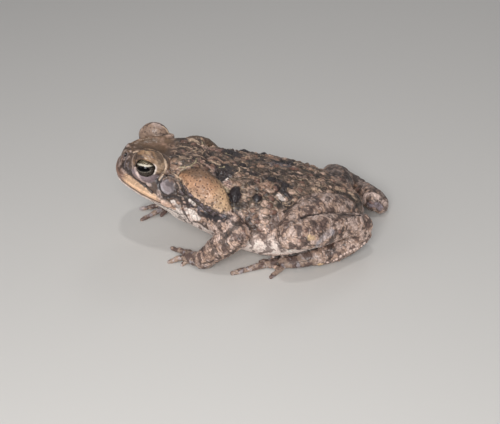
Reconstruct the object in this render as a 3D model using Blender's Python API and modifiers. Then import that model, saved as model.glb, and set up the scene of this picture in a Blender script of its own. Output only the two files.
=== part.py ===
"""Cane toad, a still life-size model, built in Blender 4.5 from named sizes.

Sizes are millimetres and become metres when a mesh is made. In the toad's own measures x runs to
its left, y from the snout to the rump and z up, with the floor at z = 0. Each form is a loft, a
tube or a primitive, neighbours are cut 0.3 mm clear of each other, and warts are fused on last.
"""

import math
import random

import bmesh
import bpy
import numpy as np
from mathutils import Matrix, Vector
from mathutils.bvhtree import BVHTree

MM = 0.001
GAP = 0.3
FLOOR_DEPTH = 12.0

# Head measures: the snout tip at the mouth line, and how far the head is tipped up
SNOUT_Y = -0.4
SNOUT_Z = 43.5
HEAD_PITCH = 21.0

EYE_RADIUS = 5.2
EYE_CENTRE = (14.7, 13.0, 12.4)
EYE_GAZE = (0.91, -0.12, 0.36)
EYE_OPENING = (4.75, 3.65)
LID_CENTRE = (14.4, 13.4, 14.6)
LID_SIZE = (5.0, 8.0, 8.3)
LOWER_LID_CENTRE = (14.6, 13.2, 10.1)
LOWER_LID_SIZE = (5.0, 7.0, 5.4)
TYMPANUM_CENTRE = (20.2, 25.8, 9.4)
TYMPANUM_RADIUS = 4.1
TYMPANUM_DEPTH = 1.3
NOSTRIL_CENTRE = (4.9, 1.5, 10.4)
NOSTRIL_SIZE = (1.5, 1.0, 0.9)
JAW_CORNER = 30.0
CREST_RADIUS = 1.15
NECK_Y = 40.0
NECK_PITCH = 16.0

# Head sections: distance behind the snout, lip half-width, chin, cheek, crest and crown heights
HEAD_SECTIONS = (
    (0.0, 5.2, -1.0, 4.7, 5.5, 2.6, 8.6, 9.0),
    (1.3, 9.2, -1.9, 8.2, 6.0, 4.4, 10.0, 10.4),
    (4.0, 12.8, -2.8, 10.8, 7.0, 5.6, 12.6, 12.4),
    (8.0, 15.8, -3.6, 12.7, 8.0, 6.6, 15.0, 14.0),
    (13.5, 18.8, -4.8, 14.6, 9.0, 7.8, 16.9, 15.7),
    (19.0, 20.9, -6.0, 16.9, 9.8, 9.0, 18.3, 17.2),
    (25.0, 22.4, -7.6, 19.6, 10.5, 10.6, 20.0, 19.2),
    (31.0, 23.6, -9.6, 21.4, 11.2, 12.6, 21.0, 21.0),
    (36.0, 24.6, -12.0, 22.8, 12.0, 14.5, 21.2, 22.4),
)
# Body sections: y, pitch, height of the widest point, half-width, underside and back heights
BODY_SECTIONS = (
    (41.5, 12.0, 29.0, 26.2, 14.0, 48.8),
    (47.5, 5.0, 26.5, 28.4, 10.6, 47.6),
    (54.0, 0.0, 24.0, 30.2, 6.4, 46.0),
    (63.0, 0.0, 21.5, 32.0, 2.0, 43.8),
    (74.0, 0.0, 19.5, 33.4, -1.2, 41.2),
    (86.0, 0.0, 18.0, 32.8, -1.6, 38.2),
    (97.0, 0.0, 17.0, 29.8, -1.6, 35.2),
    (107.0, 0.0, 16.5, 24.4, -1.2, 31.8),
    (115.0, 0.0, 16.0, 18.4, 0.6, 28.2),
    (121.0, 0.0, 15.6, 12.6, 4.6, 24.4),
    (124.6, 0.0, 15.2, 6.6, 9.0, 20.4),
)
BODY_END = (126.2, 14.2)

# Limb lines: x, y, z, half-thickness across, half-thickness up
THIGH_LEFT = (
    (13.0, 113.0, 20.5, 8.0, 9.0),
    (18.0, 106.0, 24.5, 9.5, 10.5),
    (24.0, 99.0, 26.5, 9.5, 10.0),
    (33.0, 92.0, 28.0, 8.8, 9.2),
    (40.5, 88.0, 28.2, 7.2, 7.6),
)
SHANK_LEFT = (
    (42.8, 87.5, 28.0, 7.0, 7.4),
    (40.2, 94.0, 27.4, 7.8, 8.2),
    (35.6, 102.0, 26.0, 7.8, 8.2),
    (29.8, 111.0, 24.2, 6.4, 6.8),
    (25.0, 118.0, 21.8, 5.7, 6.0),
    (20.6, 123.0, 18.4, 5.8, 6.2),
)
TARSUS_LEFT = (
    (19.3, 123.2, 13.2, 5.0, 5.6),
    (21.8, 118.0, 9.9, 5.2, 5.8),
    (24.8, 110.0, 6.4, 5.2, 5.4),
    (26.6, 101.0, 4.8, 5.4, 4.8),
    (27.0, 93.0, 3.9, 5.4, 4.0),
)
FOOT_LEFT = (
    (27.0, 97.0, 4.0, 5.4, 4.0),
    (27.4, 90.0, 3.2, 6.2, 3.5),
    (27.4, 83.5, 2.6, 5.4, 2.8),
)
THIGH_RIGHT = (
    (-13.0, 112.0, 20.0, 8.0, 9.0),
    (-22.0, 112.5, 17.6, 9.4, 10.0),
    (-32.0, 112.5, 13.8, 8.8, 9.4),
    (-42.0, 111.8, 9.8, 7.4, 8.0),
    (-47.5, 111.5, 7.8, 6.4, 7.2),
)
SHANK_RIGHT = (
    (-49.0, 111.5, 7.0, 6.4, 6.8),
    (-44.0, 116.0, 7.2, 6.8, 7.0),
    (-37.0, 121.4, 7.6, 6.8, 7.0),
    (-29.5, 126.6, 8.6, 5.9, 6.2),
    (-24.0, 130.3, 9.4, 5.6, 6.0),
    (-19.6, 132.8, 9.4, 5.6, 6.2),
)
TARSUS_RIGHT = (
    (-19.4, 136.4, 6.6, 4.6, 5.4),
    (-25.0, 134.6, 6.0, 5.0, 5.5),
    (-32.0, 130.8, 5.2, 5.0, 5.0),
    (-39.5, 126.2, 4.6, 5.2, 4.4),
    (-45.0, 123.2, 4.0, 5.2, 3.9),
)
FOOT_RIGHT = (
    (-42.5, 124.6, 3.9, 5.2, 3.9),
    (-48.5, 122.4, 3.2, 6.0, 3.5),
    (-54.5, 119.6, 2.6, 5.2, 2.8),
)
UPPER_ARM_LEFT = (
    (13.0, 48.0, 27.0, 8.0, 9.0),
    (21.0, 51.5, 27.0, 8.8, 9.2),
    (27.5, 55.5, 25.6, 7.8, 8.2),
    (32.6, 59.5, 23.8, 6.6, 7.0),
    (35.4, 62.3, 23.0, 5.8, 6.2),
)
FOREARM_LEFT = (
    (35.6, 62.4, 22.8, 5.2, 5.6),
    (34.9, 58.2, 20.4, 6.0, 6.4),
    (33.3, 52.6, 15.4, 6.0, 6.2),
    (31.3, 47.4, 9.6, 5.3, 5.3),
    (29.4, 43.0, 4.8, 4.8, 4.8),
)
PALM_LEFT = (
    (29.2, 44.6, 4.5, 4.5, 4.4),
    (26.4, 39.4, 3.5, 4.4, 3.5),
    (23.2, 34.6, 2.5, 3.9, 2.7),
)
UPPER_ARM_RIGHT = (
    (-14.0, 48.0, 27.0, 8.0, 9.0),
    (-22.0, 49.5, 26.5, 9.0, 9.5),
    (-32.0, 50.5, 23.5, 7.8, 8.2),
    (-40.0, 50.5, 20.5, 6.6, 7.0),
    (-45.5, 50.5, 18.0, 5.8, 6.2),
)
FOREARM_RIGHT = (
    (-44.5, 53.0, 19.5, 5.6, 6.2),
    (-41.0, 46.5, 17.5, 6.6, 7.0),
    (-37.0, 38.5, 12.6, 6.4, 6.4),
    (-33.4, 31.0, 7.4, 5.2, 5.2),
    (-31.2, 25.4, 3.8, 4.6, 3.9),
)
PALM_RIGHT = (
    (-31.6, 29.5, 4.4, 4.6, 3.9),
    (-29.2, 22.8, 3.1, 5.0, 3.0),
    (-26.6, 17.4, 2.3, 4.0, 2.3),
)

# Digits: root and tip on the floor plan, then thickness at the root
FINGERS_LEFT = (
    ((21.5, 37.0), (14.8, 33.0), 1.4),
    ((20.8, 34.6), (12.4, 25.0), 1.5),
    ((23.4, 33.4), (25.4, 24.8), 1.5),
    ((25.6, 35.6), (27.8, 31.8), 1.4),
)
FINGERS_RIGHT = (
    ((-27.0, 21.5), (-19.6, 16.4), 1.35),
    ((-25.6, 20.0), (-15.6, 6.0), 1.45),
    ((-27.4, 18.6), (-27.0, 4.3), 1.45),
    ((-30.0, 20.6), (-36.0, 12.6), 1.35),
)
TOES_LEFT = (
    ((25.4, 86.5), (23.6, 81.4), 1.35),
    ((25.6, 84.6), (24.2, 76.4), 1.4),
    ((26.2, 83.5), (25.8, 71.8), 1.5),
    ((27.0, 83.5), (35.9, 57.8), 1.75),
    ((29.0, 86.0), (39.4, 77.2), 1.5),
)
TOES_RIGHT = (
    ((-53.5, 116.6), (-58.5, 110.0), 1.4),
    ((-56.0, 117.1), (-63.0, 106.5), 1.45),
    ((-57.0, 118.1), (-67.5, 107.0), 1.55),
    ((-57.5, 119.6), (-71.5, 112.6), 1.65),
    ((-56.0, 122.1), (-65.5, 121.8), 1.5),
)
WEB_REACH = 0.42
WEB_HALF_THICKNESS = 0.6

# The gland behind each eye: a long bean from above the eardrum to over the shoulder
GLAND_LINE = (
    (18.0, 35.0, 47.2, 3.0, 2.4),
    (19.6, 38.2, 46.6, 6.0, 4.2),
    (21.9, 42.4, 44.8, 8.2, 5.0),
    (24.7, 47.7, 40.6, 8.0, 5.2),
    (27.0, 52.2, 35.8, 6.6, 4.7),
    (28.2, 55.2, 32.4, 4.0, 3.4),
)
# The bony ridge round each eye: from the nostril, over the lid, down behind it and back
CREST_LINE = (
    (3.6, 2.0, 10.8),
    (5.6, 7.0, 14.9),
    (7.0, 11.5, 17.0),
    (8.4, 16.5, 18.3),
    (11.2, 20.4, 19.2),
    (14.4, 22.2, 17.9),
    (16.8, 23.2, 14.8),
    (17.8, 27.0, 13.9),
    (17.6, 32.5, 15.0),
)
SNOUT_TIP = (-0.5, 3.8)
LIP_HEIGHT = 1.4
LIP_OVERHANG = 0.7
LIP_SINK = 0.2
UPPER_LIP_HEIGHT = 1.5
UPPER_LIP_RADIUS = 1.0
MOUTH_GROOVE = (0.9, 0.45)
NECK_Z = 31.0
TYMPANUM_FACING = (0.95, 0.12, 0.22)
GLAND_FACING = (0.72, 0.0, 0.69)
GLAND_SLIDE_RIGHT = (2.0, 7.5)
GLAND_DROP = 0.5
BODY_SQUARENESS = 0.86
BELLY_FLATNESS = 0.85
REACH = 120.0
WELD = 0.001
WEB_STEPS = 3
WEB_HEIGHT = 1.3
DIGIT_SINK = 0.35
HAND_ARCH = 1.2
FOOT_ARCH = 0.6

# How a digit swells and arches: share of its length, rise, and thickness
DIGIT_SHAPE = (
    (0.0, 1.0, 1.1),
    (0.3, 1.0, 0.95),
    (0.5, 0.8, 1.0),
    (0.72, 0.4, 0.78),
    (0.86, 0.1, 0.84),
    (1.0, 0.0, 0.66),
)

# Large warts of the back: place, half-length, half-width, height, and the way they lie
LARGE_WARTS = (
    ((22.4, 60.2, 38.6), 4.6, 3.2, 1.3),
    ((22.5, 71.0, 36.8), 2.3, 2.3, 1.1),
    ((10.8, 53.5, 45.1), 2.4, 1.8, 0.9),
    ((15.0, 80.4, 37.9), 2.2, 1.8, 0.9),
    ((13.0, 84.9, 37.2), 2.6, 1.8, 0.8),
    ((5.6, 105.8, 32.0), 1.9, 1.7, 0.8),
    ((1.2, 115.2, 28.0), 1.8, 1.5, 0.7),
    ((12.6, 70.9, 40.7), 1.9, 1.6, 0.8),
    ((25.3, 77.4, 33.7), 1.8, 1.6, 0.8),
    ((1.3, 63.6, 43.6), 1.9, 1.7, 0.8),
    ((-4.8, 80.9, 39.3), 1.9, 1.6, 0.8),
    ((-3.2, 98.3, 34.7), 1.7, 1.5, 0.7),
    ((12.7, 92.4, 35.2), 1.8, 1.5, 0.7),
)
LARGE_WART_LIE = (0.82, -0.21, -0.54)
# Small warts of each part: how many, least and greatest radius
SMALL_WARTS = {
    "head": (6, 0.7, 1.1),
    "torso": (36, 1.0, 1.8),
    "upper_arm": (2, 0.9, 1.2),
    "forearm": (3, 0.8, 1.2),
    "thigh": (5, 0.9, 1.4),
    "shank": (6, 0.9, 1.4),
}
WART_SIDES = 6
# A wart's rings: share of its radius, share of its height, and their depth under the skin
WART_RINGS = ((1.14, 0.0, -0.9), (0.8, 0.62, 0.0))
WART_ROOT = -1.2
WART_RISE = 0.58
WART_LENGTHS = (1.0, 1.35)
WART_ARC = 105.0
WART_SPACING = 1.25
WART_MARGIN = 0.45
WART_TRIES = 900
HEAD_WARTS_FROM = 26.0
HEAD_CORE = 10.0

# How fine the meshes are
TRUNK_VOXEL = 0.75
TRUNK_SMOOTHING = 3
PAW_VOXEL = 0.45
PAW_SMOOTHING = 2
OUTLINE_STEPS = 3
SECTION_STEPS = 3
EYE_SEGMENTS = 18
END_ANGLES = (60, 30)
LIMB_SIDES = 12
GLAND_SIDES = 14
DRUM_SEGMENTS = 14
LIMB_STEPS = 2
HEAD_TRIANGLES = 2600
TORSO_TRIANGLES = 2200
HAND_TRIANGLES = 440
FOOT_TRIANGLES = 560
SHARP_ANGLE = 45.0
SEED = 7


def unit(vector):
    return Vector(vector).normalized()


def head_axes():
    """The head's own directions in the toad's measures, as the columns of a matrix."""
    return Matrix.Rotation(-math.radians(HEAD_PITCH), 3, "X")


def head_point(place):
    """A place in the head's measures (left, behind the snout, above the mouth) in the toad's."""
    return Vector((0.0, SNOUT_Y, SNOUT_Z)) + head_axes() @ Vector(place)


def mirrored(place):
    """The same place on the toad's right side."""
    return (-place[0],) + tuple(place[1:])


def smooth_rows(rows, steps):
    """Rows of numbers joined by a Catmull-Rom curve, with this many steps from row to row."""
    rows = np.array(rows, float)
    padded = np.vstack([2 * rows[0] - rows[1], rows, 2 * rows[-1] - rows[-2]])
    found = []
    for index in range(1, len(rows)):
        before, start, end, after = padded[index - 1 : index + 3]
        for step in range(steps):
            t = step / steps
            bend = 2 * before - 5 * start + 4 * end - after
            turn = 3 * (start - end) + after - before
            found.append(start + 0.5 * t * (end - before + t * (bend + t * turn)))
    found.append(rows[-1])
    return np.array(found)


def new_object(name, mesh):
    made = bpy.data.objects.new(name, mesh)
    bpy.data.collections["workshop"].objects.link(made)
    return made


def loft(name, rings, start_tip, end_tip):
    """A closed mesh over rings of equally many points, with a fan to a tip at either end."""
    sides = len(rings[0])
    points = [tuple(point) for ring in rings for point in ring]
    points += [tuple(start_tip), tuple(end_tip)]
    last = (len(rings) - 1) * sides
    faces = []
    for side in range(sides):
        after = (side + 1) % sides
        faces.append((after, side, len(points) - 2))
        faces.append((last + side, last + after, len(points) - 1))
        for row in range(0, last, sides):
            faces.append((row + side, row + after, row + sides + after, row + sides + side))
    mesh = bpy.data.meshes.new(name)
    mesh.from_pydata([[value * MM for value in point] for point in points], [], faces)
    shape = bmesh.new()
    shape.from_mesh(mesh)
    bmesh.ops.recalc_face_normals(shape, faces=shape.faces)
    shape.to_mesh(mesh)
    shape.free()
    return new_object(name, mesh)


def tube(name, line, outward=(0.0, 0.0, 1.0), sides=14, steps=3, grow=0.0):
    """A limb of oval sections along a line of (x, y, z, half-width, half-height), ends round."""
    rows = smooth_rows(line, steps)
    places = rows[:, :3]
    ways = np.gradient(places, axis=0)
    rings = []
    for place, way, sizes in zip(places, ways, rows[:, 3:5]):
        across = Vector(way).cross(Vector(outward)).normalized()
        rise = across.cross(Vector(way)).normalized()
        rings.append((Vector(place), across, rise, sizes[0] + grow, sizes[1] + grow))
    start_reach = min(rings[0][3:])
    end_reach = min(rings[-1][3:])
    start_way = -unit(ways[0])
    end_way = unit(ways[-1])
    front = [round_end(rings[0], start_way * start_reach, angle) for angle in END_ANGLES]
    back = [round_end(rings[-1], end_way * end_reach, angle) for angle in END_ANGLES[::-1]]
    turns = [2 * math.pi * side / sides for side in range(sides)]
    outlines = [
        [place + across * wide * math.cos(turn) + rise * high * math.sin(turn) for turn in turns]
        for place, across, rise, wide, high in front + rings + back
    ]
    start_tip = rings[0][0] + start_way * start_reach
    end_tip = rings[-1][0] + end_way * end_reach
    return loft(name, outlines, start_tip, end_tip)


def round_end(ring, reach, angle):
    """One of the shrinking sections that round off the end of a tube."""
    place, across, rise, wide, high = ring
    shrink = math.cos(math.radians(angle))
    shift = reach * math.sin(math.radians(angle))
    return place + shift, across, rise, wide * shrink, high * shrink


def ball(name, centre, sizes, axes=None, segments=20):
    """An ellipsoid of these half-sizes along the given axes."""
    axes = axes or Matrix.Identity(3)
    shape = bmesh.new()
    bmesh.ops.create_uvsphere(shape, u_segments=segments, v_segments=segments // 2, radius=1)
    for vertex in shape.verts:
        scaled = Vector([value * size for value, size in zip(vertex.co, sizes)])
        vertex.co = (Vector(centre) + axes @ scaled) * MM
    mesh = bpy.data.meshes.new(name)
    shape.to_mesh(mesh)
    shape.free()
    return new_object(name, mesh)


def box(name, low, high, axes=None, origin=(0.0, 0.0, 0.0)):
    """A box between two corners, turned by the axes about the origin."""
    axes = axes or Matrix.Identity(3)
    shape = bmesh.new()
    bmesh.ops.create_cube(shape, size=1)
    for vertex in shape.verts:
        share = [value + 0.5 for value in vertex.co]
        corner = [a + (b - a) * part for a, b, part in zip(low, high, share)]
        vertex.co = (Vector(origin) + axes @ Vector(corner)) * MM
    mesh = bpy.data.meshes.new(name)
    shape.to_mesh(mesh)
    shape.free()
    return new_object(name, mesh)


def apply_modifiers(made):
    graph = bpy.context.evaluated_depsgraph_get()
    mesh = bpy.data.meshes.new_from_object(made.evaluated_get(graph))
    made.modifiers.clear()
    old = made.data
    made.data = mesh
    bpy.data.meshes.remove(old)


def remove(made):
    mesh = made.data
    bpy.data.objects.remove(made, do_unlink=True)
    if not mesh.users:
        bpy.data.meshes.remove(mesh)


def copy_of(made, name):
    return new_object(name, made.data.copy())


def joined(name, pieces):
    """The pieces as one mesh, whose overlaps the voxel skin then takes away."""
    shape = bmesh.new()
    for piece in pieces:
        shape.from_mesh(piece.data)
        remove(piece)
    mesh = bpy.data.meshes.new(name)
    shape.to_mesh(mesh)
    shape.free()
    return new_object(name, mesh)


def voxel_skin(made, voxel, smoothing):
    """One closed skin over everything in the mesh, with its creases eased."""
    remesh = made.modifiers.new("skin", "REMESH")
    remesh.mode = "VOXEL"
    remesh.voxel_size = voxel * MM
    ease = made.modifiers.new("ease", "SMOOTH")
    ease.factor = 0.5
    ease.iterations = smoothing
    apply_modifiers(made)


def thin_out(made, triangles):
    """Fewer faces, about this many, where the surface is nearly flat."""
    made.data.calc_loop_triangles()
    fewer = made.modifiers.new("fewer", "DECIMATE")
    fewer.ratio = min(1.0, triangles / len(made.data.loop_triangles))
    fewer.use_collapse_triangulate = True
    apply_modifiers(made)


def combine(made, other, operation, solver="EXACT"):
    """A Boolean with one other object, which is removed afterwards."""
    step = made.modifiers.new(operation.lower(), "BOOLEAN")
    step.operation = operation
    step.solver = solver
    step.object = other
    apply_modifiers(made)
    remove(other)


def fuse_collection(made, pieces, solver):
    """One union of the object with a collection of closed pieces, which are then removed."""
    group = bpy.data.collections.new("pieces")
    bpy.context.scene.collection.children.link(group)
    for piece in pieces:
        bpy.data.collections["workshop"].objects.unlink(piece)
        group.objects.link(piece)
    step = made.modifiers.new("union", "BOOLEAN")
    step.operation = "UNION"
    step.solver = solver
    step.operand_type = "COLLECTION"
    step.collection = group
    apply_modifiers(made)
    for piece in pieces:
        remove(piece)
    bpy.data.collections.remove(group)


def keep_largest(made, welding=True):
    """Only the largest closed surface stays, with doubled points welded first if asked."""
    shape = bmesh.new()
    shape.from_mesh(made.data)
    if welding:
        bmesh.ops.remove_doubles(shape, verts=shape.verts, dist=WELD * MM)
        bmesh.ops.dissolve_degenerate(shape, edges=shape.edges, dist=WELD * MM)
    left = set(shape.faces)
    best = set()
    while left:
        found = {left.pop()}
        edge = list(found)
        while edge:
            face = edge.pop()
            near = {other for line in face.edges for other in line.link_faces} & left
            left -= near
            found |= near
            edge += near
        if len(found) > len(best):
            best = found
    bmesh.ops.delete(shape, geom=[face for face in shape.faces if face not in best], context="FACES")
    shape.to_mesh(made.data)
    shape.free()


def head_profile(width, chin, cheek, crest, crown):
    """Half of a head section, from the middle of the crown round to the middle of the chin."""
    return (
        (0.0, crown),
        (crest[0] * 0.6, crown + 0.35 * (crest[1] - crown)),
        crest,
        cheek,
        (width, LIP_HEIGHT),
        (width - LIP_OVERHANG, -LIP_HEIGHT),
        (width * 0.74, chin * 0.72),
        (width * 0.38, chin * 0.98),
        (0.0, chin),
    )


def whole_outline(half):
    """Both sides of a half outline, as one smooth closed ring of (across, up)."""
    full = list(half) + [(-across, up) for across, up in half[-2:0:-1]]
    wrapped = smooth_rows(full[-2:] + full + full[:3], OUTLINE_STEPS)
    start = 2 * OUTLINE_STEPS
    return wrapped[start : start + len(full) * OUTLINE_STEPS]


def head_rings():
    rings = []
    for s, width, chin, cheek_width, cheek_height, *upper in HEAD_SECTIONS:
        crest_width, crest_height, crown = upper
        half = head_profile(
            width, chin, (cheek_width, cheek_height), (crest_width, crest_height), crown
        )
        rings.append([head_point((across, s, up)) for across, up in whole_outline(half)])
    return rings


def body_rings():
    count = len(whole_outline(head_profile(1, -1, (1, 1), (1, 1), 1)))
    rings = []
    for y, pitch, middle, width, low, high in BODY_SECTIONS:
        tilt = Matrix.Rotation(-math.radians(pitch), 3, "X")
        ring = []
        for index in range(count):
            turn = 2 * math.pi * index / count
            across, up = math.sin(turn), math.cos(turn)
            side = math.copysign(abs(across) ** BODY_SQUARENESS, across) * width
            rise = up * (high - middle) if up > 0 else up_under(up) * (middle - low)
            ring.append(Vector((0.0, y, middle)) + tilt @ Vector((side, 0.0, rise)))
        rings.append(ring)
    return rings


def up_under(up):
    """The underside is flatter than the back."""
    return math.copysign(abs(up) ** BELLY_FLATNESS, up)


def trunk_loft():
    """Head and body in one, through every section."""
    rings = np.array([[list(point) for point in ring] for ring in head_rings() + body_rings()])
    rows = smooth_rows(rings.reshape(len(rings), -1), SECTION_STEPS)
    rings = rows.reshape(len(rows), -1, 3)
    snout = head_point((0.0, SNOUT_TIP[0], SNOUT_TIP[1]))
    return loft("trunk", rings, snout, (0.0,) + BODY_END)


def crest(side):
    line = [head_point(side_of(place, side)) for place in CREST_LINE]
    rows = [tuple(point) + (CREST_RADIUS, CREST_RADIUS) for point in line]
    return tube("crest", rows, sides=8, steps=2)


def side_of(place, side):
    return place if side > 0 else mirrored(place)


def eyelids(side):
    """The bulging upper lid and the low lid under each eye."""
    upper = ball("lid", head_point(side_of(LID_CENTRE, side)), LID_SIZE, head_axes())
    centre = head_point(side_of(LOWER_LID_CENTRE, side))
    lower = ball("lower_lid", centre, LOWER_LID_SIZE, head_axes())
    return [upper, lower]


def lips():
    """The rounded rim of the upper jaw."""
    line = [(place[0], place[1], UPPER_LIP_HEIGHT) for place in mouth_line()]
    rows = [tuple(head_point(place)) + (UPPER_LIP_RADIUS, UPPER_LIP_RADIUS) for place in line]
    return tube("lips", rows, sides=8, steps=1)


def mouth_line():
    """The lips' outline from the right corner of the jaw round the snout to the left."""
    rows = smooth_rows([section[:2] for section in HEAD_SECTIONS], 1)
    side = [(width - LIP_SINK, s, 0.0) for s, width in rows if s <= JAW_CORNER]
    front = (0.0, SNOUT_TIP[0] + LIP_SINK, 0.0)
    return [mirrored(place) for place in side[::-1]] + [front] + side


def trunk():
    """The bare head and body as one skin."""
    pieces = [trunk_loft(), lips()]
    for side in (1, -1):
        pieces += [crest(side)] + eyelids(side)
    made = joined("trunk", pieces)
    voxel_skin(made, TRUNK_VOXEL, TRUNK_SMOOTHING)
    return made


def neck_box(behind):
    """Everything behind the neck's plane, or in front of it, and half the gap more."""
    half = GAP / 2
    low = (-REACH, -half, -REACH) if behind else (-REACH, -REACH, -REACH)
    high = (REACH, REACH, REACH) if behind else (REACH, half, REACH)
    axes = Matrix.Rotation(-math.radians(NECK_PITCH), 3, "X")
    return box("neck", low, high, axes, (0.0, NECK_Y, NECK_Z))


def eye_ball(name, side, grow=0.0):
    size = EYE_RADIUS + grow
    centre = head_point(side_of(EYE_CENTRE, side))
    return ball(name, centre, (size, size, size), head_axes(), EYE_SEGMENTS)


def eye_opening(side):
    """The gap between the lids, as an oval that runs outwards from the eye."""
    centre = head_point(side_of(EYE_CENTRE, side))
    gaze = head_axes() @ unit(side_of(EYE_GAZE, side))
    wide, high = EYE_OPENING
    rows = [
        tuple(centre + gaze * reach) + (wide + spread, high + spread)
        for reach, spread in ((0.0, 0.0), (4.0, 0.0), (9.0, 2.0))
    ]
    return tube("opening", rows, head_axes() @ Vector((0, 0, 1)), EYE_SEGMENTS, 1)


def eardrum(name, side, grow=0.0):
    """A shallow round cushion set in the skin behind the eye."""
    centre = head_point(side_of(TYMPANUM_CENTRE, side))
    facing = head_axes() @ unit(side_of(TYMPANUM_FACING, side))
    axes = facing.to_track_quat("Z", "Y").to_matrix()
    size = TYMPANUM_RADIUS + grow
    return ball(name, centre, (size * 0.9, size, TYMPANUM_DEPTH + grow), axes, DRUM_SEGMENTS)


def gland(name, side, grow=0.0):
    rows = []
    for index, (x, y, z, wide, thick) in enumerate(GLAND_LINE):
        share = index / (len(GLAND_LINE) - 1)
        slide = GLAND_SLIDE_RIGHT[0] * (1 - share) + GLAND_SLIDE_RIGHT[1] * share
        if side > 0:
            slide = 0.0
        rows.append(side_of((x, y - slide, z - slide * GLAND_DROP, wide, thick), side))
    outward = unit(side_of(GLAND_FACING, side))
    return tube(name, rows, outward, GLAND_SIDES, 2, grow)


def nostril(side):
    return ball("nostril", head_point(side_of(NOSTRIL_CENTRE, side)), NOSTRIL_SIZE, head_axes(), 10)


def head(skin):
    made = copy_of(skin, "head")
    thin_out(made, HEAD_TRIANGLES)
    combine(made, neck_box(behind=True), "DIFFERENCE")
    rows = [tuple(head_point(place)) + MOUTH_GROOVE for place in mouth_line()]
    combine(made, tube("mouth", rows, sides=4, steps=1), "DIFFERENCE")
    for side in (1, -1):
        combine(made, eye_ball("socket", side, GAP), "DIFFERENCE")
        combine(made, eye_opening(side), "DIFFERENCE")
        combine(made, eardrum("drum_seat", side, GAP), "DIFFERENCE")
        combine(made, gland("gland_seat", side, GAP), "DIFFERENCE")
        combine(made, nostril(side), "DIFFERENCE")
    keep_largest(made)
    return made


def torso(skin):
    made = copy_of(skin, "torso")
    thin_out(made, TORSO_TRIANGLES)
    combine(made, neck_box(behind=False), "DIFFERENCE")
    for side in (1, -1):
        combine(made, gland("gland_seat", side, GAP), "DIFFERENCE")
    for name in LIMBS:
        combine(made, limb(name, GAP), "DIFFERENCE")
    for sole in (FOOT_LEFT, FOOT_RIGHT):
        combine(made, tube("sole", sole, sides=LIMB_SIDES, grow=GAP), "DIFFERENCE")
    for root, tip, thickness in TOES_LEFT[:3]:
        combine(made, digit(root, tip, thickness + 2 * GAP, FOOT_ARCH), "DIFFERENCE")
    combine(made, floor_box(), "DIFFERENCE")
    keep_largest(made)
    return made


def floor_box():
    return box("floor", (-REACH, -REACH, -FLOOR_DEPTH), (REACH, 2 * REACH, 0.0))


def limb(name, grow=0.0):
    line, outward = LIMBS[name]
    return tube(name, line, outward, LIMB_SIDES, LIMB_STEPS, grow)


def neighbour(name, grow):
    """The form of a gland or a limb's segment, by its node's name."""
    if name.startswith("parotoid"):
        return gland(name, 1 if name.endswith("left") else -1, grow)
    return limb(name, grow)


def limb_segment(name, neighbours):
    """One segment of a limb, cut clear of those that it meets and of the floor."""
    made = limb(name)
    for other in neighbours:
        combine(made, neighbour(other, GAP), "DIFFERENCE")
    combine(made, floor_box(), "DIFFERENCE")
    keep_largest(made)
    return made


def digit(root, tip, thickness, arch):
    """A finger or toe from root to tip along the floor, a little swollen at its joints."""
    rows = []
    for share, rise, size in DIGIT_SHAPE:
        x = root[0] + (tip[0] - root[0]) * share
        y = root[1] + (tip[1] - root[1]) * share
        radius = thickness * size
        rows.append((x, y, radius - DIGIT_SINK + rise * arch, radius, radius))
    return tube("digit", rows, sides=10, steps=2)


def web(first, second):
    """A thin web from the roots of two toes to part of the way along them."""
    rings = []
    for step in range(WEB_STEPS + 1):
        share = WEB_REACH * step / WEB_STEPS
        ends = []
        for root, tip, thickness in (first, second):
            x = root[0] + (tip[0] - root[0]) * share
            y = root[1] + (tip[1] - root[1]) * share
            ends.append((x, y))
        rings.append(
            [
                ends[0] + (WEB_HEIGHT + WEB_HALF_THICKNESS,),
                ends[1] + (WEB_HEIGHT + WEB_HALF_THICKNESS,),
                ends[1] + (WEB_HEIGHT - WEB_HALF_THICKNESS,),
                ends[0] + (WEB_HEIGHT - WEB_HALF_THICKNESS,),
            ]
        )
    start_tip = np.mean(rings[0], axis=0)
    end_tip = np.mean(rings[-1], axis=0)
    return loft("web", rings, start_tip, end_tip)


def paw(name, palm, digits, arch, webbed, triangles, neighbours):
    """A hand or foot: the palm and its digits fused, flat where they touch the floor."""
    pieces = [tube("palm", palm, sides=14, steps=3)]
    pieces += [digit(root, tip, thickness, arch) for root, tip, thickness in digits]
    if webbed:
        pieces += [web(first, second) for first, second in zip(digits, digits[1:])]
    made = joined(name, pieces)
    voxel_skin(made, PAW_VOXEL, PAW_SMOOTHING)
    thin_out(made, triangles)
    for other in neighbours:
        combine(made, limb(other, GAP), "DIFFERENCE")
    combine(made, floor_box(), "DIFFERENCE")
    keep_largest(made)
    return made


LIMBS = {
    "upper_arm_left": (UPPER_ARM_LEFT, (0.0, 0.0, 1.0)),
    "forearm_left": (FOREARM_LEFT, (0.0, 0.5, 1.0)),
    "thigh_left": (THIGH_LEFT, (0.0, 0.0, 1.0)),
    "shank_left": (SHANK_LEFT, (0.0, 0.0, 1.0)),
    "tarsus_left": (TARSUS_LEFT, (0.0, 0.0, 1.0)),
    "upper_arm_right": (UPPER_ARM_RIGHT, (0.0, 0.0, 1.0)),
    "forearm_right": (FOREARM_RIGHT, (0.0, 0.5, 1.0)),
    "thigh_right": (THIGH_RIGHT, (0.0, 0.0, 1.0)),
    "shank_right": (SHANK_RIGHT, (0.0, 0.0, 1.0)),
    "tarsus_right": (TARSUS_RIGHT, (0.0, 0.0, 1.0)),
}


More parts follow.
